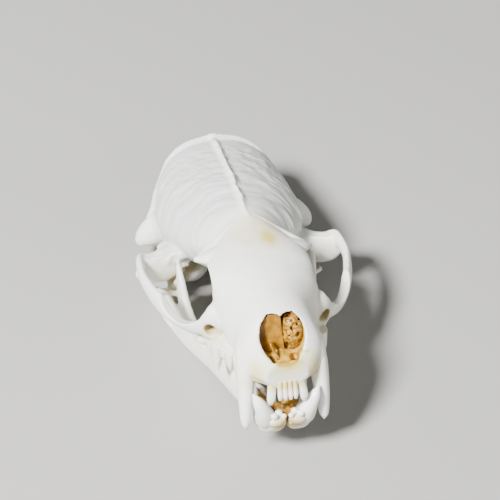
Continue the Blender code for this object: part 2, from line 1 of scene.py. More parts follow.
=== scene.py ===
# %% [markdown]
# A mink's skull, cleaned and bleached, with its lower jaw in place and its mouth a little open.
# The imported solids give the place and the size of every bone. This lesson builds the bones again,
# finer, with the marks that the solids leave out, and gives them their finish.
# Loading the frame comes first.

# %% Load the frame
import math

import bmesh
import bpy
import numpy as np
from mathutils import Matrix, Vector
from mathutils.bvhtree import BVHTree


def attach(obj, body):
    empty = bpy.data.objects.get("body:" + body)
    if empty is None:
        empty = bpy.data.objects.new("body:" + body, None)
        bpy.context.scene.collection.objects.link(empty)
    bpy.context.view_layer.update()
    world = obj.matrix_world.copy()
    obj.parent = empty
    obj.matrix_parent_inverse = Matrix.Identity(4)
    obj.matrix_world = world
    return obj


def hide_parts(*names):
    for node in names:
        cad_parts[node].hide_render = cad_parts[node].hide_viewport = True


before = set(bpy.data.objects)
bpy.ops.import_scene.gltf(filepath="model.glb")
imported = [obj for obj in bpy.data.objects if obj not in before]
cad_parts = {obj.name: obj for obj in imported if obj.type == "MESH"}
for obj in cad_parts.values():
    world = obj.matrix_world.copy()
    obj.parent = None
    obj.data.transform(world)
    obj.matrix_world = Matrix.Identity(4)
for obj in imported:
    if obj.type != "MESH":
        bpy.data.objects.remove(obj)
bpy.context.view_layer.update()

# %% [markdown]
# The camera looks down on the skull from its front, a little from its right side, with a long lens.
# It comes first, because everything after it is judged through it. A long lens keeps the braincase
# from shrinking behind the nose, as a skull this small is photographed from a forearm's length away.

# %% Camera
CAMERA_PLACE = (-0.0529, -0.2344, 0.2356)
CAMERA_TURN = (0.8366, -0.0196, -0.2059)
LENS_MM = 129.6
SENSOR_MM = 36.0

camera_data = bpy.data.cameras.new("camera")
camera_data.lens = LENS_MM
camera_data.sensor_width = SENSOR_MM
camera_data.clip_start = 0.01
camera = bpy.data.objects.new("camera", camera_data)
camera.location = CAMERA_PLACE
camera.rotation_euler = CAMERA_TURN
bpy.context.scene.collection.objects.link(camera)
bpy.context.scene.camera = camera
print("camera", round(camera.location.length * 1000), "mm from the middle of the skull")

# %% [markdown]
# All shapes are drawn in the skull's own frame, in millimetres, as a bone is measured with callipers:
# x to the animal's left, y backwards from the front of the upper jaw, z up from the tooth line.
# One matrix at the end opens the jaw, tips the skull back onto the table and turns it into metres.

# %% The skull's frame
JOINT_Y, JOINT_Z = 43.0, 3.8
JAW_OPENING = math.radians(5.5)
TIP_BACK = math.radians(17.0)
MIDDLE_Y = 33.0
TABLE_Y, TABLE_Z = 1.83, -7.80
MM = 0.001


def to_table(open_jaw):
    """From the skull's frame to the table's, the jaw opened about its joint."""
    place = Matrix.Identity(4)
    if open_jaw:
        hinge = Matrix.Translation((0, JOINT_Y, JOINT_Z))
        place = hinge @ Matrix.Rotation(JAW_OPENING, 4, "X") @ hinge.inverted()
    tip = Matrix.Rotation(-TIP_BACK, 4, "X") @ Matrix.Translation((0, -MIDDLE_Y, 0))
    return Matrix.Diagonal((MM, MM, MM, 1)) @ Matrix.Translation((0, -TABLE_Y, -TABLE_Z)) @ tip @ place


UPPER, LOWER = to_table(False), to_table(True)
print("front of the upper jaw is at", [round(v * 1000, 1) for v in UPPER @ Vector((0, 0, 0))], "mm")

# %% [markdown]
# A bone has no straight lines, so sizes are given at a few stations and a smooth line is drawn
# through them. A cubic that never overshoots its points keeps a narrow waist from bulging.

# %% Smooth lines through measured stations
def along(pairs, at):
    """The value at a station, on a smooth line through (station, value) pairs."""
    stations, values = np.array(pairs, float).T
    steps = np.diff(stations)
    slopes = np.diff(values) / steps
    tangents = np.zeros(len(values))
    tangents[0], tangents[-1] = slopes[0], slopes[-1]
    for i in range(1, len(slopes)):
        before, after = slopes[i - 1], slopes[i]
        if before * after > 0:
            tangents[i] = 2 * before * after / (before + after)
    i = int(np.clip(np.searchsorted(stations, at) - 1, 0, len(steps) - 1))
    t = min(max((at - stations[i]) / steps[i], 0.0), 1.0)
    start = (1 + 2 * t) * (1 - t) ** 2 * values[i] + t * (1 - t) ** 2 * steps[i] * tangents[i]
    end = t * t * (3 - 2 * t) * values[i + 1] + t * t * (t - 1) * steps[i] * tangents[i + 1]
    return start + end


def evenly(values):
    """(share of the way, value) pairs for values at even steps."""
    return list(zip(np.linspace(0, 1, len(values)), values))


def smooth_path(points, count):
    columns = [evenly(column) for column in np.array(points, float).T]
    return np.array([[along(column, at) for column in columns] for at in np.linspace(0, 1, count)])


print("half way from 0 to 2 by way of 0.5:", round(along([(0, 0), (1, 0.5), (2, 2)], 0.5), 3))

# %% [markdown]
# Three makers draw every bone and tooth: a skin over rings for the braincase and the jaw,
# a bar of oval section along a path for arches, crests and teeth, and an egg for swellings.
# Each is a closed surface, because only closed surfaces can be melted together.

# %% Skins, bars and eggs
def mesh_object(name, bm):
    bmesh.ops.recalc_face_normals(bm, faces=bm.faces)
    mesh = bpy.data.meshes.new(name)
    bm.to_mesh(mesh)
    bm.free()
    made = bpy.data.objects.new(name, mesh)
    bpy.context.scene.collection.objects.link(made)
    return made


def loft(name, rings):
    """A closed skin over rings of points, each ring having as many points as the next."""
    bm = bmesh.new()
    rows = [[bm.verts.new(p) for p in ring] for ring in rings]
    for low, high in zip(rows, rows[1:]):
        for i in range(len(low)):
            j = (i + 1) % len(low)
            bm.faces.new((low[i], low[j], high[j], high[i]))
    for row in (rows[0], rows[-1]):
        middle = bm.verts.new(sum((v.co for v in row), Vector()) / len(row))
        for i in range(len(row)):
            bm.faces.new((row[i], row[(i + 1) % len(row)], middle))
    return mesh_object(name, bm)


def squared(turn, power):
    """A point of a rounded square, rounder towards a power of 2."""
    c, s = math.cos(turn), math.sin(turn)
    return math.copysign(abs(c) ** (2 / power), c), math.copysign(abs(s) ** (2 / power), s)


def section(y, half_width, top, bottom, waist, above, below, side=0.0, crest=0.0, points=96):
    """A ring across the skull, widest at the waist, with a low sharp crest on its top if one is asked for."""
    ring = []
    for turn in np.linspace(0, 2 * math.pi, points, endpoint=False):
        across, up = squared(turn, above if math.sin(turn) > 0 else below)
        x = half_width * across
        reach = (top - waist) if up > 0 else (waist - bottom)
        z = waist + reach * up
        if up > 0:
            drift = 0.16 * math.sin(0.9 * y) + 0.09 * math.sin(2.3 * y)
            z += crest * math.exp(-(((x - drift) / CREST_SPREAD) ** 2))
        ring.append((side + x, y, z))
    return ring


def tube(name, path, widths, heights, up=(0, 0, 1), rings=24, sides=20, power=2.0):
    """A bar of oval section along a smooth path; widths and heights are half sizes at even steps of it."""
    points = smooth_path(path, rings)
    wide, high = evenly(widths), evenly(heights)
    made = []
    for i, (point, tangent) in enumerate(zip(points, np.gradient(points, axis=0))):
        ahead = Vector(tangent).normalized()
        across = ahead.cross(Vector(up)).normalized()
        over = across.cross(ahead).normalized()
        w, h = along(wide, i / (rings - 1)), along(high, i / (rings - 1))
        ring = []
        for turn in np.linspace(0, 2 * math.pi, sides, endpoint=False):
            c, s = squared(turn, power)
            ring.append(Vector(point) + across * (w * c) + over * (h * s))
        made.append(ring)
    return loft(name, made)


def blob(name, centre, radii, lean=(0, 0, 0), segments=32):
    """An egg of three radii, leaned by angles in degrees about x, y and z."""
    bm = bmesh.new()
    bmesh.ops.create_uvsphere(bm, u_segments=segments, v_segments=segments // 2, radius=1)
    turn = Matrix.Identity(4)
    for axis, angle in zip("XYZ", lean):
        turn = Matrix.Rotation(math.radians(angle), 4, axis) @ turn
    bm.transform(Matrix.Translation(centre) @ turn @ Matrix.Diagonal((*radii, 1)))
    return mesh_object(name, bm)


def both_sides(pieces):
    """The pieces, and a copy of each across the middle plane."""
    copies = []
    for piece in pieces:
        bm = bmesh.new()
        bm.from_mesh(piece.data)
        bm.transform(Matrix.Diagonal((-1, 1, 1, 1)))
        bmesh.ops.reverse_faces(bm, faces=bm.faces)
        copies.append(mesh_object(piece.name + "_right", bm))
    return pieces + copies


CREST_SPREAD = 0.36
print("makers ready: loft, section, tube, blob")

# %% [markdown]
# Bone grows as one piece, so the drawn parts have to lose their seams. A Boolean joins them,
# and a voxel remesh with a little smoothing then melts each join into a fillet, much as sculptors
# blend clay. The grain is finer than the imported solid's, so that the muscle marks fit on it.

# %% Joining and melting
BONE_GRAIN = 0.27
TOOTH_GRAIN = 0.11
BONE_TRIANGLES = 186000
SMOOTHING = 4


def bake(target):
    """Turns the object's live modifiers into its plain mesh."""
    graph = bpy.context.evaluated_depsgraph_get()
    baked = bpy.data.meshes.new_from_object(target.evaluated_get(graph))
    target.modifiers.clear()
    old, target.data = target.data, baked
    bpy.data.meshes.remove(old)


def combine(target, pieces, operation):
    """One Boolean of the target with a collection of closed pieces, which are then removed."""
    group = bpy.data.collections.new("pieces")
    bpy.context.scene.collection.children.link(group)
    for piece in pieces:
        group.objects.link(piece)
    modifier = target.modifiers.new("combine", "BOOLEAN")
    modifier.operation = operation
    modifier.operand_type = "COLLECTION"
    modifier.collection = group
    modifier.solver = "MANIFOLD"
    bake(target)
    for piece in pieces:
        bpy.data.meshes.remove(piece.data)
    bpy.data.collections.remove(group)


def largest_surface(target):
    """Keeps only the biggest closed surface of the mesh."""
    bm = bmesh.new()
    bm.from_mesh(target.data)
    left = set(bm.verts)
    groups = []
    while left:
        front = [left.pop()]
        group = set(front)
        while front:
            for edge in front.pop().link_edges:
                for vert in edge.verts:
                    if vert in left:
                        left.remove(vert)
                        group.add(vert)
                        front.append(vert)
        groups.append(group)
    groups.sort(key=len)
    for group in groups[:-1]:
        bmesh.ops.delete(bm, geom=list(group), context="VERTS")
    bm.to_mesh(target.data)
    bm.free()


def melt(target, grain, smoothing):
    remesh = target.modifiers.new("grain", "REMESH")
    remesh.mode = "VOXEL"
    remesh.voxel_size = grain
    smooth = target.modifiers.new("smooth", "SMOOTH")
    smooth.factor = 0.5
    smooth.iterations = smoothing
    bake(target)


def thin_to(target, triangles):
    """Collapses the flattest edges until the mesh has at most this many triangles."""
    now = sum(len(p.vertices) - 2 for p in target.data.polygons)
    if now > triangles:
        thin = target.modifiers.new("thin", "DECIMATE")
        thin.ratio = triangles / now
        thin.use_collapse_triangulate = True
        bake(target)


print("bone grain", BONE_GRAIN, "mm, tooth grain", TOOTH_GRAIN, "mm")

# %% [markdown]
# The braincase and the snout are one skin. Its half width, roof, floor and widest height are read
# off at stations along the skull. The sides of a mink's braincase fall away from the crest
# like a low tent, so the power of the upper curve is lowest there, and it rises again at the back.

# %% Braincase and snout
HALF_WIDTH = (
    (0.5, 3.6), (2.0, 5.4), (4.8, 7.2), (9.0, 7.3), (13.0, 8.3), (17.0, 9.2), (21.5, 9.2), (24.4, 8.5),
    (26.2, 7.8), (28.4, 6.7), (30.5, 6.2), (34.0, 8.0), (38.5, 10.7), (44.0, 12.7), (50.0, 13.5),
    (55.0, 13.1), (59.5, 12.4), (62.4, 11.3), (64.2, 9.6), (65.1, 7.4), (65.6, 4.8),
)
ROOF = (
    (0.5, 3.9), (1.6, 5.6), (4.4, 11.3), (7.0, 12.9), (12.0, 14.4), (18.0, 15.9), (26.2, 17.3),
    (30.5, 18.3), (38.0, 19.4), (46.0, 20.2), (55.0, 20.2), (60.0, 20.2), (63.6, 19.8), (64.7, 18.2),
    (65.6, 14.4),
)
FLOOR = ((0.5, 0.5), (6.0, 1.4), (24.0, 1.8), (30.0, 4.0), (36.0, 4.2), (44.0, 3.0), (62.0, 3.4), (65.6, 6.0))
WIDEST_Z = (
    (0.5, 2.0), (4.8, 3.2), (11.0, 5.0), (16.0, 9.0), (20.0, 12.2), (26.0, 12.9), (28.4, 12.8), (32.0, 12.0),
    (40.0, 10.5), (55.0, 10.0), (65.6, 10.0),
)
ABOVE_POWER = (
    (0.5, 2.2), (10.0, 2.1), (18.0, 2.0), (28.0, 1.8), (33.0, 1.6), (40.0, 1.6), (50.0, 1.75), (58.0, 2.0),
    (62.0, 2.3), (66.0, 2.4),
)
BELOW_POWER = (
    (0.5, 3.0), (10.0, 3.0), (16.0, 2.6), (20.0, 1.6), (23.0, 1.25), (31.0, 1.35), (38.0, 2.0), (66.0, 2.3),
)
CREST = ((29.5, 0.0), (32.5, 0.45), (36.0, 0.9), (44.0, 1.15), (56.0, 1.15), (62.0, 0.9), (65.6, 0.0))


def braincase_and_snout():
    """The skin of the cranium, from the front of the snout to the back of the head."""
    profiles = (HALF_WIDTH, ROOF, FLOOR, WIDEST_Z, ABOVE_POWER, BELOW_POWER)
    rings = [
        section(y, *(along(profile, y) for profile in profiles), crest=along(CREST, y) if y > 29.5 else 0.0)
        for y in np.linspace(0.5, 65.6, 130)
    ]
    return loft("cranium_bone", rings)


GUM_HALF_WIDTH = (
    (0.6, 3.2), (2.0, 4.6), (4.8, 7.6), (8.5, 7.3), (13.0, 8.4), (17.0, 9.8), (21.0, 10.6), (23.6, 9.4),
    (25.5, 5.2),
)
GUM_EDGE = ((0.6, -0.4), (3.0, -0.5), (6.0, 0.0), (10.0, 0.3), (25.5, 0.3))


def gum_edge():
    """The edge of the upper jaw that the teeth stand in."""
    stations = np.linspace(0.6, 25.5, 50)
    rings = [section(y, along(GUM_HALF_WIDTH, y), 5.0, along(GUM_EDGE, y), 2.4, 2.0, 3.0) for y in stations]
    return loft("gum_edge", rings)


def palate_end():
    """The palate's narrow rear half and the throat's bony roof behind it."""
    return loft("palate_end", [section(y, 3.9, 7.0, 1.6, 3.4, 2.0, 3.5) for y in np.linspace(22.0, 33.0, 12)])


core = braincase_and_snout()
print("braincase and snout:", len(core.data.vertices), "points")

# %% [markdown]
# The cheek arches spring from under the eye, bow out to the skull's full width and end in the plate
# over the jaw joint. They are thin and flat on their inner side. A path with its own half sizes at
# every step is the quickest way to such a bar, and the other side is its mirror image.

# %% Arches, crests and swellings
ARCH_HALF = 19.7
CREST_TOP = 21.0
INION_Y = 64.0
MASTOID_HALF = 17.6
ORBIT_Y = 21.5
EAR_Y = 50.5


def cheek_arch():
    """The bar from under the eye, out to the skull's full width and back to the jaw's joint."""
    half = ARCH_HALF
    path = (
        (8.4, 17.6, 5.4), (12.4, 19.4, 4.8), (15.8, 24.0, 4.9), (half - 1.7, 30.0, 5.7),
        (half - 0.8, 35.5, 6.7), (half - 1.1, 40.4, 7.1), (half - 3.2, 43.4, 5.4), (12.6, 45.2, 5.0),
    )
    widths = (2.6, 1.7, 1.0, 0.80, 0.70, 0.75, 1.2, 2.0)
    heights = (3.2, 2.6, 2.2, 1.8, 1.5, 1.5, 1.5, 1.9)
    return tube("cheek_arch", path, widths, heights, rings=40)


def joint_socket():
    """The block over the jaw's joint, the lip behind it, and the plate facing forward over its outer half."""
    path = ((9.4, 43.8, 5.0), (13.0, 43.6, 4.9), (16.6, 43.2, 4.9))
    block = tube("joint_block", path, (2.4, 2.5, 2.1), (2.2, 2.2, 1.9), rings=10, power=3.0)
    path = ((9.2, 45.9, 4.4), (12.6, 46.1, 3.0), (15.8, 45.4, 3.8))
    lip = tube("joint_lip", path, (0.9, 0.9, 0.7), (2.2, 2.6, 1.6), rings=12)
    path = ((13.6, 41.4, 5.0), (16.2, 40.9, 4.7), (18.5, 40.4, 6.0))
    plate = tube("joint_plate", path, (0.7, 0.65, 0.6), (2.0, 2.6, 2.1), rings=12, power=3.0)
    return [block, lip, plate]


def bumps_and_hooks():
    """The small forms of one side, each named for what it is on the skull."""
    return [
        tube("pterygoid", ((3.4, 29.0, 3.6), (3.3, 33.0, 2.6), (3.4, 36.0, 1.4), (3.9, 38.6, 0.2)),
             (0.8, 0.6, 0.5, 0.35), (3.0, 2.4, 1.8, 0.6)),
        blob("cheek_root", (9.0, 17.8, 5.2), (3.0, 3.4, 4.2), (18, 0, -20)),
        tube("orbit_horn", ((5.6, 24.6, 14.2), (8.2, 25.5, 13.5), (10.6, 26.6, 12.8)),
             (2.6, 1.9, 0.35), (1.5, 1.0, 0.3)),
        tube("canine_root", ((6.2, 4.8, 0.8), (6.1, 5.8, 4.5), (5.4, 8.8, 9.0)),
             (1.75, 1.65, 0.3), (2.1, 2.0, 0.3), up=(0, 1, 0.3)),
        blob("ear_bulla", (7.4, 51.5, 2.1), (4.0, 8.0, 4.0), (4, 0, 14)),
        tube("mastoid", ((10.6, 53.4, 8.0), (13.6, 54.8, 6.4), (15.6, 55.6, 4.8),
                         (MASTOID_HALF - 0.9, 56.0, 3.6)),
             (3.2, 2.5, 1.8, 0.9), (3.8, 2.9, 2.0, 1.0)),
        blob("ear_canal_rim", (11.4, EAR_Y - 1.3, 4.4), (3.2, 2.3, 2.2)),
        tube("cheek_shelf", ((7.4, 42.6, 8.8), (11.4, 42.8, 7.2), (15.0, 42.4, 6.2), (18.0, 41.4, 6.8)),
             (3.6, 3.2, 2.2, 1.0), (2.2, 1.8, 1.4, 1.0)),
        tube("upper_plate", ((9.8, 41.6, 6.4), (12.4, 41.2, 5.5), (14.8, 40.7, 5.0), (16.6, 40.4, 5.1),
                             (18.8, 40.0, 6.4)),
             (0.6,) * 5, (2.2, 2.7, 2.8, 2.7, 1.8), rings=24),
        tube("throat_process", ((8.4, 59.0, 4.4), (9.8, 60.6, 2.2), (10.2, 61.0, 0.0)),
             (1.8, 1.4, 0.7), (1.4, 1.1, 0.7)),
        blob("neck_condyle", (4.6, 64.4, 6.0), (2.6, 2.2, 3.0), (0, 25, -20)),
        tube("temple_line", ((9.6, 26.6, 13.2), (5.2, 29.0, 15.7), (2.4, 30.5, 17.3), (0.0, 32.4, 18.2)),
             (0.7, 0.5, 0.45, 0.4), (0.35, 0.35, 0.45, 0.5)),
    ]


def neck_crest():
    """The ridge round the back of the skull, and the slope of bone that leads up to it from the front."""
    path = (
        (-0.9, INION_Y + 0.2, CREST_TOP - 1.1), (4.5, INION_Y + 0.2, 18.7), (7.9, 63.6, 16.6),
        (10.1, 62.0, 13.8), (11.7, 59.8, 11.6), (12.9, 57.8, 9.4), (14.2, 56.4, 7.0),
    )
    radial, thick = (1.5, 1.5, 1.5, 1.4, 1.3, 1.2, 1.2), (0.5, 0.5, 0.5, 0.6, 0.7, 0.8, 0.9)
    crest = tube("neck_crest", path, radial, thick, (0, 1, 0.2), 40)
    slope_path = [(x * 0.91, y - 2.4, z - 0.95) for x, y, z in path]
    slope = tube("neck_slope", slope_path, [r * 0.8 for r in radial], (2.5,) * len(path), (0, 1, 0.2), 40)
    return [crest, slope]


paired = [cheek_arch(), *joint_socket(), *bumps_and_hooks(), *neck_crest()]
combine(core, both_sides(paired) + [gum_edge(), palate_end()], "UNION")
print("joined", len(paired) * 2 + 2, "parts to the braincase")

# %% [markdown]
# Hollows are cut with the same makers: the eye sockets, the nose with its passage on either side of
# the middle wall, the nerve hole under each eye, the ear canals, the neck hole, and the trough that
# the jaw turns in. Cutting before melting rounds every rim a little, as real bone is rounded.

# %% Hollows
FLOOR_HOLE = ((1.5, 1.2, 4.9), (1.9, 3.0, 3.9), (2.1, 4.6, 3.3))


def nose_side():
    """One side of the nose, its lobe at the top and its passage running back."""
    path = ((1.7, 1.4, 7.8), (1.8, 6.0, 7.5), (2.0, 11.0, 7.3), (2.2, 16.0, 7.2))
    hole = blob("nose_hole", (1.3, 4.4, 7.95), (2.6, 5.4, 3.6), (10, 0, 0))
    passage = tube("nose_passage", path, (1.9, 2.0, 2.0, 1.5), (3.2, 3.4, 3.3, 2.2), rings=16)
    return [hole, passage, tube("floor_hole", FLOOR_HOLE, (0.75, 0.75, 0.6), (0.75, 0.75, 0.6))]


def hollows():
    """All that is cut out of the cranium."""
    orbit = blob("orbit", (12.8, ORBIT_Y + 0.6, 8.9), (6.8, 6.2, 5.2), (0, 0, -18))
    path = ((10.8, 12.4, 3.8), (10.2, 15.2, 4.3), (9.6, 18.4, 5.6), (9.8, 21.5, 7.0))
    nerve_hole = tube("nerve_hole", path, (1.3, 1.2, 0.8, 0.9), (1.5, 1.4, 1.1, 1.2), rings=16)
    nerve_rim = blob("nerve_rim", (10.7, 13.4, 3.3), (2.0, 2.5, 2.8))
    ear = tube("ear_canal", ((17.5, 49.0, 3.6), (10.2, EAR_Y - 0.6, 4.6)), (1.1, 1.0), (1.2, 1.1), rings=6)
    path = ((7.6, JOINT_Y, JOINT_Z), (18.4, JOINT_Y, JOINT_Z))
    trough = tube("joint_trough", path, (1.85, 1.85), (1.85, 1.85), rings=6)
    jaw_path = blob("jaw_path", (12.4, 37.9, 5.2), (1.5, 2.6, 5.4))
    neck_hole = blob("neck_hole", (0, 66.0, 7.4), (3.7, 5.6, 3.2))
    throat = blob("throat", (0, 34.5, 1.4), (2.5, 7.0, 2.6))
    nose_floor = blob("nose_floor", (0.0, 2.4, 6.5), (2.7, 2.9, 2.1), (22, 0, 0))
    paired = [orbit, nerve_hole, nerve_rim, ear, trough, jaw_path, *nose_side()]
    return both_sides(paired) + [neck_hole, throat, nose_floor]


combine(core, hollows(), "DIFFERENCE")
melt(core, BONE_GRAIN, SMOOTHING)
largest_surface(core)
print("melted cranium:", len(core.data.polygons), "faces")

# %% [markdown]
# The lower jaw is a flat bar on edge that rises into a blade behind the teeth. Both halves are drawn
# as the animal's left one, and the right one is its mirror image. The hollow on the blade's
# outer side held the chewing muscle.

# %% Lower jaw
JAW_BASE = (
    (1.0, -4.6), (1.7, -5.9), (3.5, -7.0), (8.0, -7.6), (16.0, -8.1), (23.0, -8.0), (29.0, -7.5),
    (35.0, -6.6), (40.0, -5.6), (44.0, -4.6), (46.6, -3.6),
)
JAW_TOP = (
    (1.0, -2.9), (4.0, -2.4), (12.0, -2.1), (20.0, -1.7), (26.0, -1.4), (29.0, -0.8), (31.0, -0.6),
    (34.0, -0.9), (38.0, -0.8), (41.0, 0.0), (43.8, -0.8), (44.8, -1.8), (46.6, -2.8),
)
JAW_SIDE = (
    (1.0, 1.6), (3.0, 2.4), (6.0, 2.6), (9.0, 3.1), (13.0, 4.4), (16.0, 5.3), (20.0, 6.5), (25.0, 8.1),
    (28.0, 9.6), (31.0, 11.2), (34.0, 12.4), (38.0, 13.4), (42.0, 13.9), (46.6, 14.2),
)
JAW_HALF_WIDTH = (
    (1.0, 1.4), (3.0, 2.2), (6.0, 2.5), (9.0, 2.4), (13.0, 1.8), (16.0, 1.7), (25.0, 1.6), (28.0, 1.3),
    (32.0, 0.75), (39.0, 0.6), (42.0, 0.8), (46.6, 0.6),
)
JAW_LEAN = ((1.0, 0.0), (29.0, 0.0), (34.0, -0.03), (38.0, -0.16), (42.0, -0.10), (46.6, 0.0))
BLADE = (
    (29.2, 10.6, -3.0, 0.6), (30.4, 11.3, -2.4, 2.6), (31.6, 11.8, -2.0, 5.0), (32.8, 12.1, -2.0, 7.4),
    (34.0, 12.2, -2.0, 8.9), (35.2, 12.2, -2.0, 9.6), (36.4, 12.1, -2.0, 9.2), (37.6, 11.9, -2.0, 7.6),
    (38.8, 11.7, -2.0, 5.0), (40.0, 11.7, -2.0, 2.6), (41.0, 11.8, -2.0, 1.4),
)


def coronoid():
    """The blade behind the teeth: station, x, and the heights of its foot and its top."""
    rings = []
    stations = [row[0] for row in BLADE]
    columns = [list(zip(stations, column)) for column in list(zip(*BLADE))[1:]]
    for y in np.linspace(stations[0], stations[-1], 30):
        x, low, high = (along(column, y) for column in columns)
        rings.append(section(y, 0.42, high, low, (low + high) / 2, 3.0, 3.0, x, points=48))
    front = ((9.4, 26.8, -3.0), (10.7, 28.9, -0.8), (11.7, 31.2, 3.2), (12.2, 33.2, 7.4), (12.4, 35.0, 9.3))
    rear = ((12.1, 36.6, 9.0), (11.8, 38.0, 6.6), (11.7, 39.2, 3.8), (12.0, 41.0, 1.4))
    return [
        loft("blade", rings),
        tube("blade_front", front, (1.1, 0.85, 0.68, 0.6, 0.5), (0.9, 0.75, 0.6, 0.55, 0.5), (0, 1, 0), 30),
        tube("blade_rear", rear, (0.5, 0.55, 0.6, 0.7), (0.45, 0.5, 0.5, 0.6), (0, 1, 0)),
    ]


def jaw_half():
    """The animal's left half of the lower jaw, with its blade, its joint and the bed of its incisors."""
    rings = []
    for y in np.linspace(1.0, 46.6, 110):
        base, top = along(JAW_BASE, y), along(JAW_TOP, y)
        half, side, lean = along(JAW_HALF_WIDTH, y), along(JAW_SIDE, y), along(JAW_LEAN, y)
        ring = section(y, half, top, base, (base + top) / 2, 2.6, 2.6, side, points=72)
        rings.append([(x + lean * (z + 4.0), at, z) for x, at, z in ring])
    body = loft("jaw_bone_left", rings)
    foot_path = (
        (10.2, 30.0, -6.2), (12.0, 35.0, -5.6), (13.9, 40.0, -4.6), (14.4, 43.6, -3.8), (14.3, 46.3, -3.2),
    )
    condyle_path = (
        (10.0, JOINT_Y + 0.2, JOINT_Z - 0.2), (13.6, JOINT_Y, JOINT_Z), (16.9, JOINT_Y - 0.2, JOINT_Z - 0.1),
    )
    neck_path = ((12.3, 43.0, 3.0), (12.3, 42.7, 0.8), (13.2, 42.2, -2.0))
    rim_path = ((12.4, 38.4, 0.9), (14.2, 40.2, 0.6), (15.6, 42.2, 0.1), (15.2, 44.2, -1.2))
    parts = [
        *coronoid(),
        tube("foot", foot_path, (1.1, 1.2, 1.2, 1.0, 0.5), (1.2, 1.1, 1.0, 0.9, 0.5)),
        tube("condyle", condyle_path, (0.9, 1.35, 0.8), (0.9, 1.35, 0.8), rings=12),
        tube("condyle_neck", neck_path, (1.6, 1.2, 0.8), (0.9, 0.8, 0.8), up=(0, 1, 0)),
        tube("bowl_rim", rim_path, (0.6, 0.6, 0.6, 0.5), (0.5, 0.5, 0.5, 0.5)),
        blob("tooth_bed", (1.8, 1.4, -3.3), (1.75, 1.4, 1.05)),
    ]
    combine(body, parts, "UNION")
    hollow = blob("muscle_hollow", (15.9, 36.4, -0.4), (2.9, 5.0, 3.4), (0, 0, -14))
    combine(body, [hollow], "DIFFERENCE")
    melt(body, BONE_GRAIN, SMOOTHING)
    largest_surface(body)
    return body


jaw_left = jaw_half()
print("melted jaw half:", len(jaw_left.data.polygons), "faces")

# %% [markdown]
# Materials and Geometry Nodes are both trees of nodes, so one small function adds a node with its
# settings and its links. Three more open a Geometry Nodes tree, close it and run it on a piece. A tree
# could stay live as a modifier, but a plain mesh is what a printer and a web page read.

# %% Helper for nodes
def add(tree, kind, inputs=None, **settings):
    """Adds a node, with its settings, and values or links for its inputs by name or number."""
    made = tree.nodes.new(kind)
    for name, value in settings.items():
        setattr(made, name, value)
    for key, value in (inputs or {}).items():
        socket = made.inputs[key]
        if isinstance(value, bpy.types.NodeSocket):
            tree.links.new(value, socket)
        else:
            socket.default_value = value
    return made


def geometry_tree(name, sizes):
    """An empty tree with a geometry in and out, and named inputs: (name, socket type, value)."""
    tree = bpy.data.node_groups.new(name, "GeometryNodeTree")
    tree.interface.new_socket("Geometry", in_out="INPUT", socket_type="NodeSocketGeometry")
    for label, kind, value in sizes:
        socket = tree.interface.new_socket(label, in_out="INPUT", socket_type=kind)
        if value is not None:
            socket.default_value = value
    tree.interface.new_socket("Geometry", in_out="OUTPUT", socket_type="NodeSocketGeometry")
    return tree, add(tree, "NodeGroupInput").outputs


def close_tree(tree, geometry):
    """Ends the tree in Realize Instances and Set Material."""
    real = add(tree, "GeometryNodeRealizeInstances", {0: geometry})
    label = next(item.name for item in tree.interface.items_tree if item.socket_type == "NodeSocketMaterial")
    given = next(node for node in tree.nodes if node.type == "GROUP_INPUT").outputs[label]
    painted = add(tree, "GeometryNodeSetMaterial", {0: real.outputs[0], "Material": given})
    add(tree, "NodeGroupOutput", {0: painted.outputs[0]})


def run_tree(target, tree, values):
    """Runs a tree on an object, its inputs set by their identifiers, and keeps the result as a plain mesh."""
    modifier = target.modifiers.new(tree.name, "NODES")
    modifier.node_group = tree
    for item in tree.interface.items_tree:
        if item.in_out == "INPUT" and item.name in values:
            modifier[item.identifier] = values[item.name]
    bake(target)


print("node helpers ready")

# %% [markdown]
# Every finish on the skull is a base colour with stains laid over it, so the helpers come first.
# Colours are given as sRGB hex, as a paint card gives them, and one function turns them to the linear
# values that Blender mixes. Patterns could come from photographs of bone, but noise whose grain is
# given in millimetres stays sharp from near by and needs no unwrapping.

# %% Materials: shared helpers
def linear(hex_colour):
    """sRGB hex to linear RGBA."""
    parts = [int(hex_colour[i:i + 2], 16) / 255 for i in (1, 3, 5)]
    return (*[p / 12.92 if p <= 0.04045 else ((p + 0.055) / 1.055) ** 2.4 for p in parts], 1.0)


def new_material(name):
    material = bpy.data.materials.new(name)
    material.use_nodes = True
    tree = material.node_tree
    shader = tree.nodes["Principled BSDF"]
    place = add(tree, "ShaderNodeTexCoord").outputs["Object"]
    return material, tree, shader, place


def mixed(tree, share, first, second):
    """One colour laid over another by a share from 0 to 1."""
    node = add(tree, "ShaderNodeMix", {0: share}, data_type="RGBA")
    for socket, colour in ((node.inputs[6], first), (node.inputs[7], second)):
        if isinstance(colour, str):
            socket.default_value = linear(colour)
        else:
            tree.links.new(colour, socket)
    return node.outputs[2]


def noise(tree, place, grain_mm, detail=3.0, roughness=0.55):
    """Noise whose lumps are about as wide as the size given in millimetres."""
    return add(tree, "ShaderNodeTexNoise", {"Vector": place, "Scale": 0.5 / (grain_mm * MM),
                                            "Detail": detail, "Roughness": roughness}).outputs["Fac"]


def weaker(tree, value, share):
    """A value cut down to a share of itself."""
    return add(tree, "ShaderNodeMath", {0: value, 1: share}, operation="MULTIPLY").outputs[0]


def ramp(tree, value, low, high, to_low=0.0, to_high=1.0):
    """A value stretched so that low becomes 0 and high becomes 1, clamped."""
    return add(tree, "ShaderNodeMapRange", {0: value, 1: low, 2: high, 3: to_low, 4: to_high},
               interpolation_type="SMOOTHSTEP").outputs[0]


def attribute(tree, name):
    return add(tree, "ShaderNodeAttribute", attribute_name=name).outputs["Fac"]


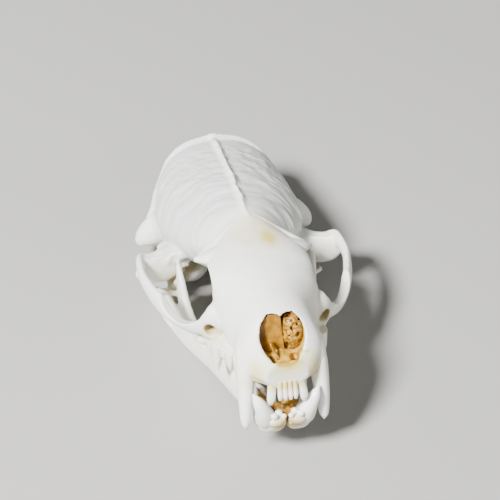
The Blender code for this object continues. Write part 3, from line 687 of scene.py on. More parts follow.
def bumped(tree, shader, height, distance_mm, strength=1.0):
    bump = add(tree, "ShaderNodeBump", {"Strength": strength, "Distance": distance_mm * MM, "Height": height})
    tree.links.new(bump.outputs["Normal"], shader.inputs["Normal"])


print("mid grey #808080 is", round(linear("#808080")[0], 3), "in linear light")

# %% [markdown]
# Bleached bone is matt, a little translucent at its thin edges, off-white where the peroxide reached
# and straw coloured in its hollows, partly where fat stayed and partly as painted shade. Fine pores,
# where vessels ran, show in a few places only. One white for all of it looks like plaster, so soft
# clouds of grey and cream are mixed in, and the attributes named here say where each stain lies and
# where shade is painted: in the hollows, on the grey sides of the braincase and in some of the stain
# patches. The lower jaw is a shade darker.

# %% Material: bleached bone
def bleached_bone(name, body="#E6E5DD"):
    """Compact bone, degreased and bleached: matt, with fine vessel pores and straw-coloured hollows, partly
    dust and partly painted shade.
    """
    material, tree, shader, place = new_material(name)
    cloud = ramp(tree, noise(tree, place, 5.0), 0.35, 0.7)
    mottle = ramp(tree, noise(tree, place, 1.2, 4.0), 0.45, 0.75)
    clean = mixed(tree, cloud, body, "#D6D8D2")
    clean = mixed(tree, weaker(tree, mottle, 0.35), clean, "#D9D5C6")
    # painted shade mixed with old dust: straw colour in the hollows that the recess attribute marks
    hollow = mixed(tree, attribute(tree, "recess"), clean, "#A99B74")
    # painted shade: the sides of the braincase are turned a cooler grey
    hollow = mixed(tree, attribute(tree, "temple"), hollow, "#C4C8C3")
    # real yellow stains, and in the same attribute painted shade at the front of the eye sockets, in the
    # nerve holes and before the ears
    stained_and_shaded = mixed(tree, attribute(tree, "stain"), hollow, "#CDBE6E")
    amber = mixed(tree, ramp(tree, noise(tree, place, 0.9, 3.0), 0.3, 0.7), "#8E650E", "#C0962A")
    colour = mixed(tree, attribute(tree, "amber"), stained_and_shaded, amber)
    pores = add(tree, "ShaderNodeTexVoronoi", {"Vector": place, "Scale": 1 / (0.55 * MM)}).outputs["Distance"]
    pore = ramp(tree, pores, 0.0, 0.16, 1.0, 0.0)
    rare = ramp(tree, noise(tree, place, 3.0, 2.0), 0.58, 0.66)
    pitted = add(tree, "ShaderNodeMath", {0: pore, 1: rare}, operation="MULTIPLY").outputs[0]
    colour = mixed(tree, weaker(tree, pitted, 0.35), colour, "#A99D82")
    tree.links.new(colour, shader.inputs["Base Color"])
    tree.links.new(ramp(tree, mottle, 0.0, 1.0, 0.46, 0.6), shader.inputs["Roughness"])
    shader.inputs["Subsurface Weight"].default_value = 0.18
    shader.inputs["Subsurface Radius"].default_value = (1.0, 0.75, 0.5)
    shader.inputs["Subsurface Scale"].default_value = 0.7 * MM
    grain = noise(tree, place, 0.28, 3.0)
    height = add(tree, "ShaderNodeMath", {0: grain, 1: pitted}, operation="SUBTRACT").outputs[0]
    bumped(tree, shader, height, 0.05, 0.6)
    return material


bone_white = bleached_bone("bleached_bone_skull")
jaw_white = bleached_bone("bleached_bone_jaw", "#E3E1D8")
print("materials:", bone_white.name, jaw_white.name)

# %% [markdown]
# Enamel is harder and glossier than bone, and clearer: light goes a little way in, so that a tooth
# looks cool and milky at its tip and yellower at its neck, where the dentine shows through.

# %% Material: tooth enamel
def tooth_enamel(name, neck_colour="#D6C274"):
    """Enamel over dentine, glossy, with fine growth lines and a straw-coloured neck."""
    material, tree, shader, place = new_material(name)
    cloud = ramp(tree, noise(tree, place, 1.6), 0.35, 0.7)
    crown = mixed(tree, cloud, "#F2F1EC", "#E3E5E1")
    colour = mixed(tree, attribute(tree, "neck"), crown, neck_colour)
    # painted shade and dust: a duller cream where the tooth sits in a recess
    colour = mixed(tree, attribute(tree, "recess"), colour, "#CFC6A8")
    tree.links.new(colour, shader.inputs["Base Color"])
    shader.inputs["Roughness"].default_value = 0.3
    shader.inputs["IOR"].default_value = 1.6
    shader.inputs["Subsurface Weight"].default_value = 0.3
    shader.inputs["Subsurface Radius"].default_value = (1.0, 0.85, 0.7)
    shader.inputs["Subsurface Scale"].default_value = 0.6 * MM
    lines = noise(tree, place, 0.35, 2.0)
    bumped(tree, shader, lines, 0.02, 0.4)
    return material


enamel = tooth_enamel("tooth_enamel")

# %% [markdown]
# Inside the nose the thin scrolls of bone kept their dried lining, which the bleach didn't reach. It is
# amber, brown where it is thick and yellow where it is thin, with a slight shine. Painted shade darkens
# its small holes and its hollows, and painted highlights lighten the rims between the holes.

# %% Material: dried lining of the nose
def dried_lining(name, pitted, thick="#744C08", thin="#A0720E"):
    """Paper-thin bone soaked with dried mucous lining: amber, slightly glossy and light passing through, with
    painted shade in its small holes and hollows and painted highlights on the rims between them.
    """
    material, tree, shader, place = new_material(name)
    cloud = ramp(tree, noise(tree, place, 0.8, 4.0), 0.3, 0.7)
    colour = mixed(tree, cloud, thin, thick)
    cells = add(tree, "ShaderNodeTexVoronoi", {"Vector": place, "Scale": 1 / (0.42 * MM)}).outputs["Distance"]
    # painted shade: dark spots for the small holes of the lacework, as strong as pitted asks
    hole_shade = ramp(tree, cells, 0.12, 0.36, pitted, 0.0)
    colour = mixed(tree, hole_shade, colour, "#6A450A")
    # painted highlight: paler rims between the holes
    rim_highlight = ramp(tree, cells, 0.5, 0.8, 0.0, pitted)
    colour = mixed(tree, rim_highlight, colour, "#C89C3C")
    # painted shade in the hollows
    colour = mixed(tree, attribute(tree, "recess"), colour, "#5E3C0C")
    tree.links.new(colour, shader.inputs["Base Color"])
    shader.inputs["Roughness"].default_value = 0.42
    shader.inputs["Subsurface Weight"].default_value = 0.3
    shader.inputs["Subsurface Radius"].default_value = (1.0, 0.5, 0.2)
    shader.inputs["Subsurface Scale"].default_value = 0.6 * MM
    bumped(tree, shader, noise(tree, place, 0.2, 3.0), 0.04, 0.7)
    return material


amber = dried_lining("dried_nose_lining", 0.75)
smooth_amber = dried_lining("dried_nose_wall", 0.0)
print("materials:", enamel.name, amber.name)

# %% [markdown]
# The sides of the braincase carry faint arcs where the temple muscle held: they run round the narrow
# of the skull, from the crest down to the cheek. They repeat across a surface, so Geometry Nodes
# make them: a noise drawn out along the arcs pushes each point along its normal. The place of
# every point on the arcs is worked out first and handed over as an attribute.

# %% Muscle marks on the braincase
TEMPLE = (3.0, 29.5, 14.0)
ARC_STRETCH = 0.19
MARK_SPACING = 1.1
MARK_DEPTH = 1.0
LUMP_WIDTH = 5.5
LUMP_DEPTH = 0.5


def points_of(target):
    """The mesh's points as rows of x, y and z."""
    flat = np.zeros(len(target.data.vertices) * 3)
    target.data.vertices.foreach_get("co", flat)
    return flat.reshape(-1, 3)


def give(target, name, values, kind="FLOAT"):
    """Writes one value for each point as an attribute."""
    made = target.data.attributes.new(name, kind, "POINT")
    field = "vector" if kind == "FLOAT_VECTOR" else "value"
    made.data.foreach_set(field, np.asarray(values, np.float32).ravel())


def fade(values, low, high):
    """0 below low, 1 above high, smooth between."""
    t = np.clip((values - low) / (high - low), 0, 1)
    return t * t * (3 - 2 * t)


def place_on_arcs(target):
    """Each point's distance from the temple and its way round it, and how strong the marks are there."""
    x, y, z = points_of(target).T
    out, back, over = np.abs(x) - TEMPLE[0], y - TEMPLE[1], z - TEMPLE[2]
    far = np.sqrt(out ** 2 + back ** 2 + over ** 2)
    round_way = np.arctan2(over, out) * far
    arcs = np.stack([far, round_way * ARC_STRETCH, np.sign(x) * 7.0], 1)
    strength = fade(y, 31.5, 36.0) * fade(-y, -62.5, -57.0) * fade(z, 4.0, 8.0) * fade(np.abs(x), 0.5, 1.6)
    give(target, "arcs", arcs, "FLOAT_VECTOR")
    give(target, "marks", strength * fade(-np.abs(x), -15.0, -13.2))
    give(target, "lumps", fade(y, 12.0, 30.0) * fade(z, 3.0, 8.0) * fade(-np.abs(x), -15.0, -13.2))


def muscle_marks():
    """The tree that pushes points in and out: fine marks along the arcs, and broad lumps everywhere."""
    tree, given = geometry_tree("muscle_marks", (
        ("Mark spacing", "NodeSocketFloat", MARK_SPACING), ("Mark depth", "NodeSocketFloat", MARK_DEPTH),
        ("Lump width", "NodeSocketFloat", LUMP_WIDTH), ("Lump depth", "NodeSocketFloat", LUMP_DEPTH),
        ("Seed", "NodeSocketFloat", 3.0), ("Bone", "NodeSocketMaterial", None)))
    arcs = add(tree, "GeometryNodeInputNamedAttribute", {"Name": "arcs"}, data_type="FLOAT_VECTOR").outputs[0]
    marks = add(tree, "GeometryNodeInputNamedAttribute", {"Name": "marks"}, data_type="FLOAT").outputs[0]
    lumps = add(tree, "GeometryNodeInputNamedAttribute", {"Name": "lumps"}, data_type="FLOAT").outputs[0]
    place = add(tree, "GeometryNodeInputPosition").outputs[0]
    normal = add(tree, "GeometryNodeInputNormal").outputs[0]

    def pushed(vector, width, depth, mask, detail):
        often = add(tree, "ShaderNodeMath", {0: 0.6, 1: width}, operation="DIVIDE").outputs[0]
        wave = add(tree, "ShaderNodeTexNoise", {"Vector": vector, "W": given["Seed"], "Scale": often,
                                                "Detail": detail, "Roughness": 0.45},
                   noise_dimensions="4D").outputs[0]
        level = add(tree, "ShaderNodeMath", {0: wave, 1: 0.5}, operation="SUBTRACT").outputs[0]
        deep = add(tree, "ShaderNodeMath", {0: level, 1: depth}, operation="MULTIPLY").outputs[0]
        return add(tree, "ShaderNodeMath", {0: deep, 1: mask}, operation="MULTIPLY").outputs[0]

    fine = pushed(arcs, given["Mark spacing"], given["Mark depth"], marks, 1.0)
    broad = pushed(place, given["Lump width"], given["Lump depth"], lumps, 0.0)
    both = add(tree, "ShaderNodeMath", {0: fine, 1: broad}, operation="ADD").outputs[0]
    shift = add(tree, "ShaderNodeVectorMath", {0: normal, "Scale": both}, operation="SCALE").outputs[0]
    moved = add(tree, "GeometryNodeSetPosition", {"Geometry": given["Geometry"], "Offset": shift})
    close_tree(tree, moved.outputs[0])
    return tree


place_on_arcs(core)
run_tree(core, muscle_marks(), {
    "Mark spacing": MARK_SPACING, "Mark depth": MARK_DEPTH, "Lump width": LUMP_WIDTH,
    "Lump depth": LUMP_DEPTH, "Seed": 3.0, "Bone": bone_white})
print("muscle marks about", MARK_SPACING, "mm apart and", MARK_DEPTH / 2, "mm deep")

# %% [markdown]
# Teeth are pieces of their own, because enamel is another stuff than bone and leaves the bone along a
# crisp line. A canine is one long curved cone, oval across, whose root sits deep in the jaw. It could
# be modelled by hand from a cylinder, but a bar along a measured path keeps its curve true.

# %% Canines
UPPER_CANINE = (
    (6.15, 6.4, 5.0), (6.3, 4.9, 1.6), (6.5, 4.1, -1.8), (6.7, 3.7, -5.0), (6.82, 3.65, -7.8),
    (6.85, 3.8, -9.2),
)
LOWER_CANINE = ((2.9, 6.5, -5.8), (3.4, 2.9, -3.7), (4.0, 1.6, -1.2), (4.9, 1.3, 0.9), (5.7, 1.6, 2.5))


def canines():
    """The left canines, upper and lower."""
    upper = tube("canine_upper_left", UPPER_CANINE, (1.3, 1.62, 1.42, 1.14, 0.82, 0.12),
                 (1.7, 2.0, 1.75, 1.35, 0.92, 0.12), up=(0, 1, 0), rings=70, sides=40)
    lower = tube("canine_lower_left", LOWER_CANINE, (1.3, 1.8, 1.4, 0.98, 0.16),
                 (1.6, 1.85, 1.4, 1.0, 0.14), up=(0, 1, 0.4), rings=60, sides=40)
    return upper, lower


canine_upper, canine_lower = canines()
print("the upper canine reaches", -UPPER_CANINE[-1][2], "mm below the tooth line")

# %% [markdown]
# Behind the canines a mink has shearing teeth: blades of two or three cusps, and a low grinding
# crown at the end of each row. Each cusp is a flattened cone and each crown an egg, and melting them
# together at a finer grain than the bone's makes a row. One piece for each row is enough, because
# the teeth of a row touch each other.

# %% Cheek teeth
UPPER_CUSPS = (
    (6.9, 8.9, 2.0, -1.4, 0.75, 1.25, 0.0), (7.6, 11.8, 2.0, -2.1, 0.90, 1.70, 0.0),
    (9.3, 15.3, 2.2, -3.6, 1.10, 2.30, -0.3), (9.7, 18.3, 2.2, -2.0, 1.00, 2.00, 0.3),
    (7.9, 13.7, 2.0, -1.1, 1.20, 1.10, 0.0),
)
LOWER_CUSPS = (
    (4.0, 8.6, -3.6, -0.6, 0.70, 1.10, 0.0), (4.6, 11.4, -3.6, 0.1, 0.80, 1.50, 0.0),
    (5.5, 14.6, -3.4, 0.7, 0.90, 1.80, 0.0), (6.4, 17.8, -3.2, 0.6, 0.90, 1.80, 0.0),
    (7.0, 20.0, -3.2, 1.3, 0.95, 1.90, 0.2), (7.7, 22.6, -3.2, -0.7, 1.00, 1.70, 0.0),
)
UPPER_CROWNS = (
    ((10.3, 21.2, 0.3), (1.5, 1.35, 1.5)), ((8.7, 21.4, 0.4), (1.6, 0.95, 1.3)),
    ((6.9, 21.6, 0.3), (1.4, 1.7, 1.4)),
)
LOWER_CROWNS = (((8.4, 25.4, -1.5), (0.95, 1.05, 0.9)),)


def cheek_teeth(name, cusps, crowns):
    """Flattened cones and low crowns, melted into a row.

    A cusp is given by its x, station, root, tip, half width, half length and lean.
    """
    parts = [blob("crown", centre, radii) for centre, radii in crowns]
    for x, y, root, tip, half_width, half_length, lean in cusps:
        path = ((x, y, root), (x, y, root + (tip - root) * 0.55), (x, y + lean, tip))
        parts.append(tube("cusp", path, (half_width, half_width * 0.85, 0.15),
                          (half_length, half_length * 0.72, 0.18), (0, 1, 0), 16, 20))
    row, rest = parts[0], parts[1:]
    row.name = name
    combine(row, rest, "UNION")
    melt(row, TOOTH_GRAIN, 3)
    return row


upper_row = cheek_teeth("cheek_teeth_upper_left", UPPER_CUSPS, UPPER_CROWNS)
lower_row = cheek_teeth("cheek_teeth_lower_left", LOWER_CUSPS, LOWER_CROWNS)
print("cheek teeth:", len(upper_row.data.polygons), "and", len(lower_row.data.polygons), "faces")

# %% [markdown]
# The small incisors repeat one shape in a row, each a little larger or smaller. One tooth is drawn,
# and Geometry Nodes set copies of it on points, each scaled by the size that its point carries.
# The point list is short, so it stays readable as measurements.

# %% Incisors
def teeth_on_points():
    """The tree that sets a copy of one tooth on each point, sized, leaned and turned a little."""
    tree, given = geometry_tree("teeth_on_points", (
        ("Tooth", "NodeSocketObject", None), ("Turn jitter", "NodeSocketFloat", 0.06),
        ("Seed", "NodeSocketInt", 4), ("Enamel", "NodeSocketMaterial", None)))
    size = add(tree, "GeometryNodeInputNamedAttribute", {"Name": "size"}, data_type="FLOAT_VECTOR").outputs[0]
    lean = add(tree, "GeometryNodeInputNamedAttribute", {"Name": "lean"}, data_type="FLOAT_VECTOR").outputs[0]
    tooth = add(tree, "GeometryNodeObjectInfo", {"Object": given["Tooth"]}).outputs["Geometry"]
    down = add(tree, "ShaderNodeMath", {0: given["Turn jitter"], 1: -1.0}, operation="MULTIPLY").outputs[0]
    jitter = add(tree, "FunctionNodeRandomValue", {2: down, 3: given["Turn jitter"], "Seed": given["Seed"]})
    turn = add(tree, "ShaderNodeCombineXYZ", {"Z": jitter.outputs[1]}).outputs[0]
    leaned = add(tree, "ShaderNodeVectorMath", {0: lean, 1: turn}, operation="ADD").outputs[0]
    rotation = add(tree, "FunctionNodeEulerToRotation", {0: leaned}).outputs[0]
    points = add(tree, "GeometryNodeMeshToPoints", {"Mesh": given["Geometry"]}).outputs[0]
    placed = add(tree, "GeometryNodeInstanceOnPoints",
                 {"Points": points, "Instance": tooth, "Rotation": rotation, "Scale": size})
    close_tree(tree, placed.outputs[0])
    return tree


def row_of_teeth(name, tooth, roots, tree):
    """Copies of a tooth on both sides, from the left side's x, y, z, width, depth, height and lean."""
    places, sizes, leans = [], [], []
    for x, y, z, wide, deep, high, lean in roots:
        for side in (1, -1):
            places.append((side * x, y, z))
            sizes.append((wide, deep, high))
            leans.append((0.0, -side * lean, 0.0))
    mesh = bpy.data.meshes.new(name)
    mesh.from_pydata(places, [], [])
    made = bpy.data.objects.new(name, mesh)
    bpy.context.scene.collection.objects.link(made)
    give(made, "size", sizes, "FLOAT_VECTOR")
    give(made, "lean", leans, "FLOAT_VECTOR")
    run_tree(made, tree, {"Tooth": tooth, "Turn jitter": 0.06, "Seed": 4, "Enamel": enamel})
    return made


def single_teeth():
    """An upper incisor hanging from its root at the origin, and a lower one on its root, both 1 mm high."""
    peg = tube("peg", ((0, 0.16, 0.35), (0, 0.1, 0), (0, -0.1, -0.6), (0, 0.02, -1.0)),
               (0.40, 0.44, 0.46, 0.24), (0.40, 0.42, 0.34, 0.10), (0, 1, 0), 26, 20, power=2.4)
    bead = tube("bead", ((0, 0.15, -0.6), (0, 0.08, 0.3), (0, 0, 0.66), (0, -0.02, 0.84), (0, 0, 1.0)),
                (0.3, 0.34, 0.50, 0.44, 0.10), (0.3, 0.36, 0.50, 0.44, 0.10), (0, 1, 0), 26, 20)
    return peg, bead


peg, bead = single_teeth()
stand_teeth = teeth_on_points()
UPPER_ROOTS = (
    (0.44, 0.5, 0.0, 0.92, 1.30, 2.55, 0.0), (1.29, 0.6, 0.0, 0.96, 1.35, 2.55, 0.02),
    (2.52, 1.15, 0.1, 1.6, 1.75, 3.5, 0.12),
)
LOWER_ROOTS = (
    (0.66, 0.75, -3.1, 0.98, 0.98, 1.35, 0.0), (1.40, 1.45, -3.1, 1.30, 1.30, 1.75, 0.02),
    (2.25, 0.75, -3.1, 1.35, 1.35, 1.70, -0.05),
)
incisors_upper = row_of_teeth("incisors_upper", peg, UPPER_ROOTS, stand_teeth)
incisors_lower = row_of_teeth("incisors_lower", bead, LOWER_ROOTS, stand_teeth)
for pattern in (peg, bead):
    bpy.data.objects.remove(pattern)
print("incisors:", len(incisors_upper.data.polygons) + len(incisors_lower.data.polygons), "faces")

# %% [markdown]
# Behind the lower incisors a strip of gum has dried on the bone, brown and uneven, and runs back
# along the inner side of both halves of the jaw. It bridges the gap between them, so it is a piece
# of its own: one horseshoe-shaped bar, thickest in its middle.

# %% Dried gum
GUM_PATH = (
    (-4.0, 12.5, -2.6), (-3.3, 8.5, -2.9), (-1.9, 4.8, -3.0), (0.0, 3.4, -3.0), (1.9, 4.8, -3.0),
    (3.3, 8.5, -2.9), (4.0, 12.5, -2.6),
)
GUM_WIDTHS, GUM_HEIGHTS = (0.5, 0.7, 1.1, 1.3, 1.1, 0.7, 0.5), (0.5, 0.9, 1.1, 1.2, 1.1, 0.9, 0.5)
dried_gum = tube("dried_gum", GUM_PATH, GUM_WIDTHS, GUM_HEIGHTS, rings=80)
print("dried gum:", len(dried_gum.data.polygons), "faces")

# %% [markdown]
# Looking into the nose shows the middle wall on the left, smooth and brown, with a paler ridge at its
# foot, and on the right the lacework of the scroll bones, full of small round holes. Scrolls could be
# rolled sheet by sheet, but only their front shows. So the lacework is an egg of bone with bubbles
# taken out of it, which Geometry Nodes scatter through its volume with a fixed seed.

# %% Inside the nose
BUBBLES = 2.4
BUBBLE_SIZES = (0.18, 0.50)


def bubbles():
    """The tree that fills a closed piece with balls of many sizes."""
    tree, given = geometry_tree("bubbles", (
        ("Bubbles per mm3", "NodeSocketFloat", BUBBLES), ("Smallest", "NodeSocketFloat", BUBBLE_SIZES[0]),
        ("Largest", "NodeSocketFloat", BUBBLE_SIZES[1]), ("Seed", "NodeSocketInt", 11),
        ("Lining", "NodeSocketMaterial", None)))
    volume = add(tree, "GeometryNodeMeshToVolume", {"Mesh": given["Geometry"], "Density": 1.0},
                 resolution_mode="VOXEL_SIZE")
    volume.inputs["Voxel Size"].default_value = 0.15
    points = add(tree, "GeometryNodeDistributePointsInVolume",
                 {"Volume": volume.outputs[0], "Density": given["Bubbles per mm3"], "Seed": given["Seed"]})
    size = add(tree, "FunctionNodeRandomValue",
               {2: given["Smallest"], 3: given["Largest"], "Seed": given["Seed"]})
    ball = add(tree, "GeometryNodeMeshIcoSphere", {"Radius": 1.0, "Subdivisions": 2})
    placed = add(tree, "GeometryNodeInstanceOnPoints",
                 {"Points": points.outputs[0], "Instance": ball.outputs[0], "Scale": size.outputs[1]})
    close_tree(tree, placed.outputs[0])
    return tree


def lacework(name, centre, radii, lean):
    """An egg of bone with its bubbles taken out."""
    mass = blob(name, centre, radii, lean)
    holes = blob("holes", centre, [r * 1.05 for r in radii], lean)
    run_tree(holes, bubbles(), {
        "Bubbles per mm3": BUBBLES, "Smallest": BUBBLE_SIZES[0], "Largest": BUBBLE_SIZES[1], "Seed": 11,
        "Lining": amber})
    melt(holes, 0.12, 1)
    combine(mass, [holes], "DIFFERENCE")
    melt(mass, 0.11, 2)
    largest_surface(mass)
    return mass


scrolls = lacework("nose_scrolls", (2.3, 7.4, 7.5), (2.4, 3.7, 4.1), (8, 0, 0))
WALL_PATH = ((0.4, 5.2, 7.7), (-0.8, 5.5, 7.6), (-2.2, 5.6, 7.5), (-4.2, 5.7, 7.5))
nose_wall = tube("nose_wall", WALL_PATH, (0.22, 0.25, 0.3, 0.3), (3.7, 3.7, 3.6, 3.4), rings=30, sides=40,
                 power=2.6)
RIDGE_PATH = ((-2.1, 4.4, 7.0), (-1.9, 3.7, 6.3), (-1.4, 3.1, 5.2), (-0.9, 2.7, 4.2))
nose_ridge = tube("nose_ridge", RIDGE_PATH, (0.12, 0.2, 0.24, 0.3), (0.5, 0.8, 0.8, 0.6), up=(0, 1, 0),
                  rings=24)
print("scrolls:", len(scrolls.data.polygons), "faces")

# %% [markdown]
# Everything so far lies in the skull's frame. Now the right sides are mirrored from the left ones, the
# bones are thinned to a mesh that a printer or a web page can carry, and each piece is moved
# onto the table. What would reach below the table is cut off level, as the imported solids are.

# %% Onto the table
def settle(piece, matrix):
    """Moves a piece by its mesh, so that its object stays at the origin."""
    piece.data.transform(matrix)
    piece.data.update()


def cut_at_table(piece):
    """Cuts off level what reaches below the table."""
    if min(v.co.z for v in piece.data.vertices) < 0:
        bm = bmesh.new()
        bmesh.ops.create_cube(bm, size=0.2)
        bm.transform(Matrix.Translation((0, 0, -0.1)))
        combine(piece, [mesh_object("table_block", bm)], "DIFFERENCE")


thin_to(core, BONE_TRIANGLES)
thin_to(jaw_left, BONE_TRIANGLES // 3)
upper_pieces = [core, *both_sides([canine_upper, upper_row]), incisors_upper, scrolls, nose_wall, nose_ridge]
lower_pieces = [*both_sides([jaw_left, canine_lower, lower_row]), incisors_lower, dried_gum]
for group, matrix in ((upper_pieces, UPPER), (lower_pieces, LOWER)):
    for piece in group:
        settle(piece, matrix)
        cut_at_table(piece)
for piece in upper_pieces + lower_pieces:
    piece.name = piece.name.replace("_left_right", "_right")
print([(p.name, len(p.data.polygons)) for p in upper_pieces + lower_pieces])

# %% [markdown]
# Old grease and dust stay where air and the brush can't reach, and shade falls there too, so the
# hollows get both dust and painted shade. From each point of the bone a few rays are sent out over its
# surface: the more of them that hit bone near by, the deeper the recess. The share is kept as an
# attribute, so the straw colour of dust and painted shade sits in the real hollows from every side.

# %% Recesses
RAYS = 24
REACH = 7.0 * MM
START_OFF = 0.12 * MM
GOLDEN = math.pi * (3 - math.sqrt(5))  # the angle at which a sunflower sets its seeds: it spreads rays evenly


def ray_fan(count):
    """Directions over a half sphere about +z, thicker towards the middle."""
    fan = []
    for i in range(count):
        up = math.sqrt(1 - (i + 0.5) / count)
        flat = math.sqrt(1 - up * up)
        fan.append((flat * math.cos(GOLDEN * i), flat * math.sin(GOLDEN * i), up))
    return np.array(fan)


def tree_of(pieces):
    """All the pieces' faces in one tree that rays can be shot at."""
    points, faces, first = [], [], 0
    for piece in pieces:
        co = points_of(piece)
        points.append(co)
        faces += [[v + first for v in p.vertices] for p in piece.data.polygons]
        first += len(co)
    return BVHTree.FromPolygons([Vector(p) for p in np.concatenate(points)], faces)


def averaged(piece, values, rounds):
    """Values smoothed along the mesh's edges."""
    edges = np.array([e.vertices[:] for e in piece.data.edges])
    for _ in range(rounds):
        total, count = values.copy(), np.ones(len(values))
        for a, b in ((0, 1), (1, 0)):
            np.add.at(total, edges[:, a], values[edges[:, b]])
            np.add.at(count, edges[:, a], 1)
        values = total / count
    return values


def recess_of(piece, solid):
    """For each point of a piece, the share of its rays that hit bone near by."""
    fan = ray_fan(RAYS)
    blocked = np.zeros(len(piece.data.vertices))
    for i, vertex in enumerate(piece.data.vertices):
        normal = vertex.normal
        side = normal.orthogonal()
        other = normal.cross(side)
        start = vertex.co + normal * START_OFF
        hits = 0.0
        for fx, fy, fz in fan:
            found = solid.ray_cast(start, side * fx + other * fy + normal * fz, REACH)
            if found[0] is not None:
                hits += 1.0
        blocked[i] = hits / RAYS
    return averaged(piece, blocked, 2)


bone_pieces = [core] + [p for p in lower_pieces if p.name.startswith("jaw_bone")]
solid = tree_of(bone_pieces)
recess = {piece.name: recess_of(piece, solid) for piece in upper_pieces + lower_pieces}
print("mean recess of the cranium:", round(float(recess[core.name].mean()), 2))

# %% [markdown]
# Four more attributes carry what the bleach left, and painted shade: amber inside the nose and on the
# chin, a faint yellow stain in patches on the forehead and round the front teeth, with painted shade in
# the same attribute at the front of the eye sockets, in the nerve holes and before the ears, the painted
# shade that turns the temples a cooler grey, and the straw-coloured neck of each tooth. The dust and
# painted shade of the hollows are set here too. They could be painted by hand. Worked out in the
# skull's frame instead, they stay on the bone whatever way it is turned, and can be changed by a number.

# %% Stains, painted shade and tooth necks
# Each patch of stain or painted shade: its middle, its radii and its strength, and where it lies.
SINGLE_PATCHES = (
    ((0.0, 1.0, 3.2), (4.0, 2.2, 2.2), 0.55),  # over the upper incisors
    ((0.4, 2.4, 4.4), (2.9, 2.6, 1.7), 1.0),  # the nose's floor
    ((3.5, 2.9, 5.4), (1.0, 2.0, 0.3), 1.0),  # a dried strand over the nose's rim
    ((2.3, 23.6, 16.6), (1.6, 2.6, 3.0), 0.6),  # round the old seam of the forehead
    ((1.0, 26.0, 17.0), (5.5, 5.5, 3.0), 0.42),  # the forehead
)
PAIRED_PATCHES = (
    # painted shade in the hollow at the front of the eye socket
    ((9.0, 18.5, 9.0), (1.8, 3.0, 3.0), 0.5),  # the front of the eye socket
    ((4.6, 2.6, 2.0), (1.6, 2.0, 3.2), 0.75),  # beside the canine
    # painted shade in the nerve hole
    ((10.2, 14.0, 3.6), (2.4, 3.0, 2.8), 0.35),  # the nerve hole
    # painted shade in the hollow before the ear
    ((15.5, 48.0, 5.0), (2.6, 3.5, 3.0), 0.5),  # before the ear
)
# where the straw colour of dust and painted shade starts and is full, as shares of blocked rays, and how
# strong it is
SHADE_AND_DUST_STARTS, SHADE_AND_DUST_FULL = 0.2, 0.75  # shares of blocked rays
SHADE_AND_DUST_SHARE = 0.9
UPPER_NECK, LOWER_NECK = 0.0, 2.6  # how far the necks lie above and below the tooth line
OLD_SEAM = (2.5, 23.3, 16.6)
NERVE_HOLLOW = (10.2, 13.4, 4.2)
CHIN = (0.0, 0.2, -4.1)


def in_skull_frame(piece, matrix):
    """The piece's points taken back from the table to the skull's frame, in millimetres."""
    co = points_of(piece)
    back = np.array(matrix.inverted())
    return co @ back[:3, :3].T + back[:3, 3]


def patch(co, centre, radii):
    """1 near the centre, 0 well outside the radii, smooth between."""
    far = np.sqrt((((co - np.array(centre)) / np.array(radii)) ** 2).sum(1))
    return fade(-far, -1.35, -0.45)


def off_line(co, start, end):
    """How far each point lies from the line through two points."""
    along_line = np.array(end) - np.array(start)
    across = np.cross(co - np.array(start), along_line / np.linalg.norm(along_line))
    return np.linalg.norm(across, axis=1)


def amber_of_nose(co, depth):
    """Amber in the nose: its passage, its rim only where that is deep, and the blind hole in its floor."""
    x, y, z = co.T
    half_width = 3.75 + 0.75 * fade(y, 3.0, 5.5)
    before_eyes = fade(-y, -19.0, -17.0)
    passage = fade(-((x / half_width) ** 2 + ((z - 7.5) / 4.0) ** 2), -1.02, -0.8) * before_eyes
    round_nose = fade(-((x / 4.9) ** 2 + ((z - 7.2) / 4.9) ** 2), -1.05, -0.85) * before_eyes
    rim = round_nose * fade(depth, 0.22, 0.34)
    paler_below = 1 - 0.15 * (1 - fade(z, 3.6, 5.4))
    hole = fade(-off_line(co, FLOOR_HOLE[0], FLOOR_HOLE[-1]), -1.02, -0.86) * fade(y, 1.9, 2.3)
    return np.maximum(np.maximum(passage, rim) * paler_below, hole)


def stain_upper(piece):
    """The cranium's stains, its dust and painted shade in hollows, and the painted shade of its temples."""
    co, depth = in_skull_frame(piece, UPPER), recess[piece.name]
    x, y, z = co.T
    side = np.abs(x)
    folded = np.stack([side, y, z], 1)
    stain = sum(patch(co, centre, radii) * share for centre, radii, share in SINGLE_PATCHES)
    stain += sum(patch(folded, centre, radii) * share for centre, radii, share in PAIRED_PATCHES)
    # painted shade: the temples turn a cooler grey
    temple = fade(y, 30.0, 38.0) * fade(z, 3.0, 9.0) * fade(side, 0.3, 1.2) * fade(-y, -66.0, -62.0)
    # the old seam's dark line is the bone's own mark; the darkening in the nerve hollow is painted shade
    dark = patch(co, OLD_SEAM, (0.22, 1.3, 1.6)) * 0.7 + patch(folded, NERVE_HOLLOW, (2.0, 2.8, 2.4)) * 0.45
    amber_share = amber_of_nose(co, depth) + patch(co, OLD_SEAM, (0.3, 1.3, 1.8)) * 0.2
    give(piece, "temple", temple * fade(-side, -14.6, -13.4))
    give(piece, "recess", np.clip(fade(depth, SHADE_AND_DUST_STARTS, SHADE_AND_DUST_FULL) * SHADE_AND_DUST_SHARE + dark, 0, 1))
    give(piece, "stain", np.clip(stain, 0, 1))
    give(piece, "amber", np.clip(amber_share, 0, 1))


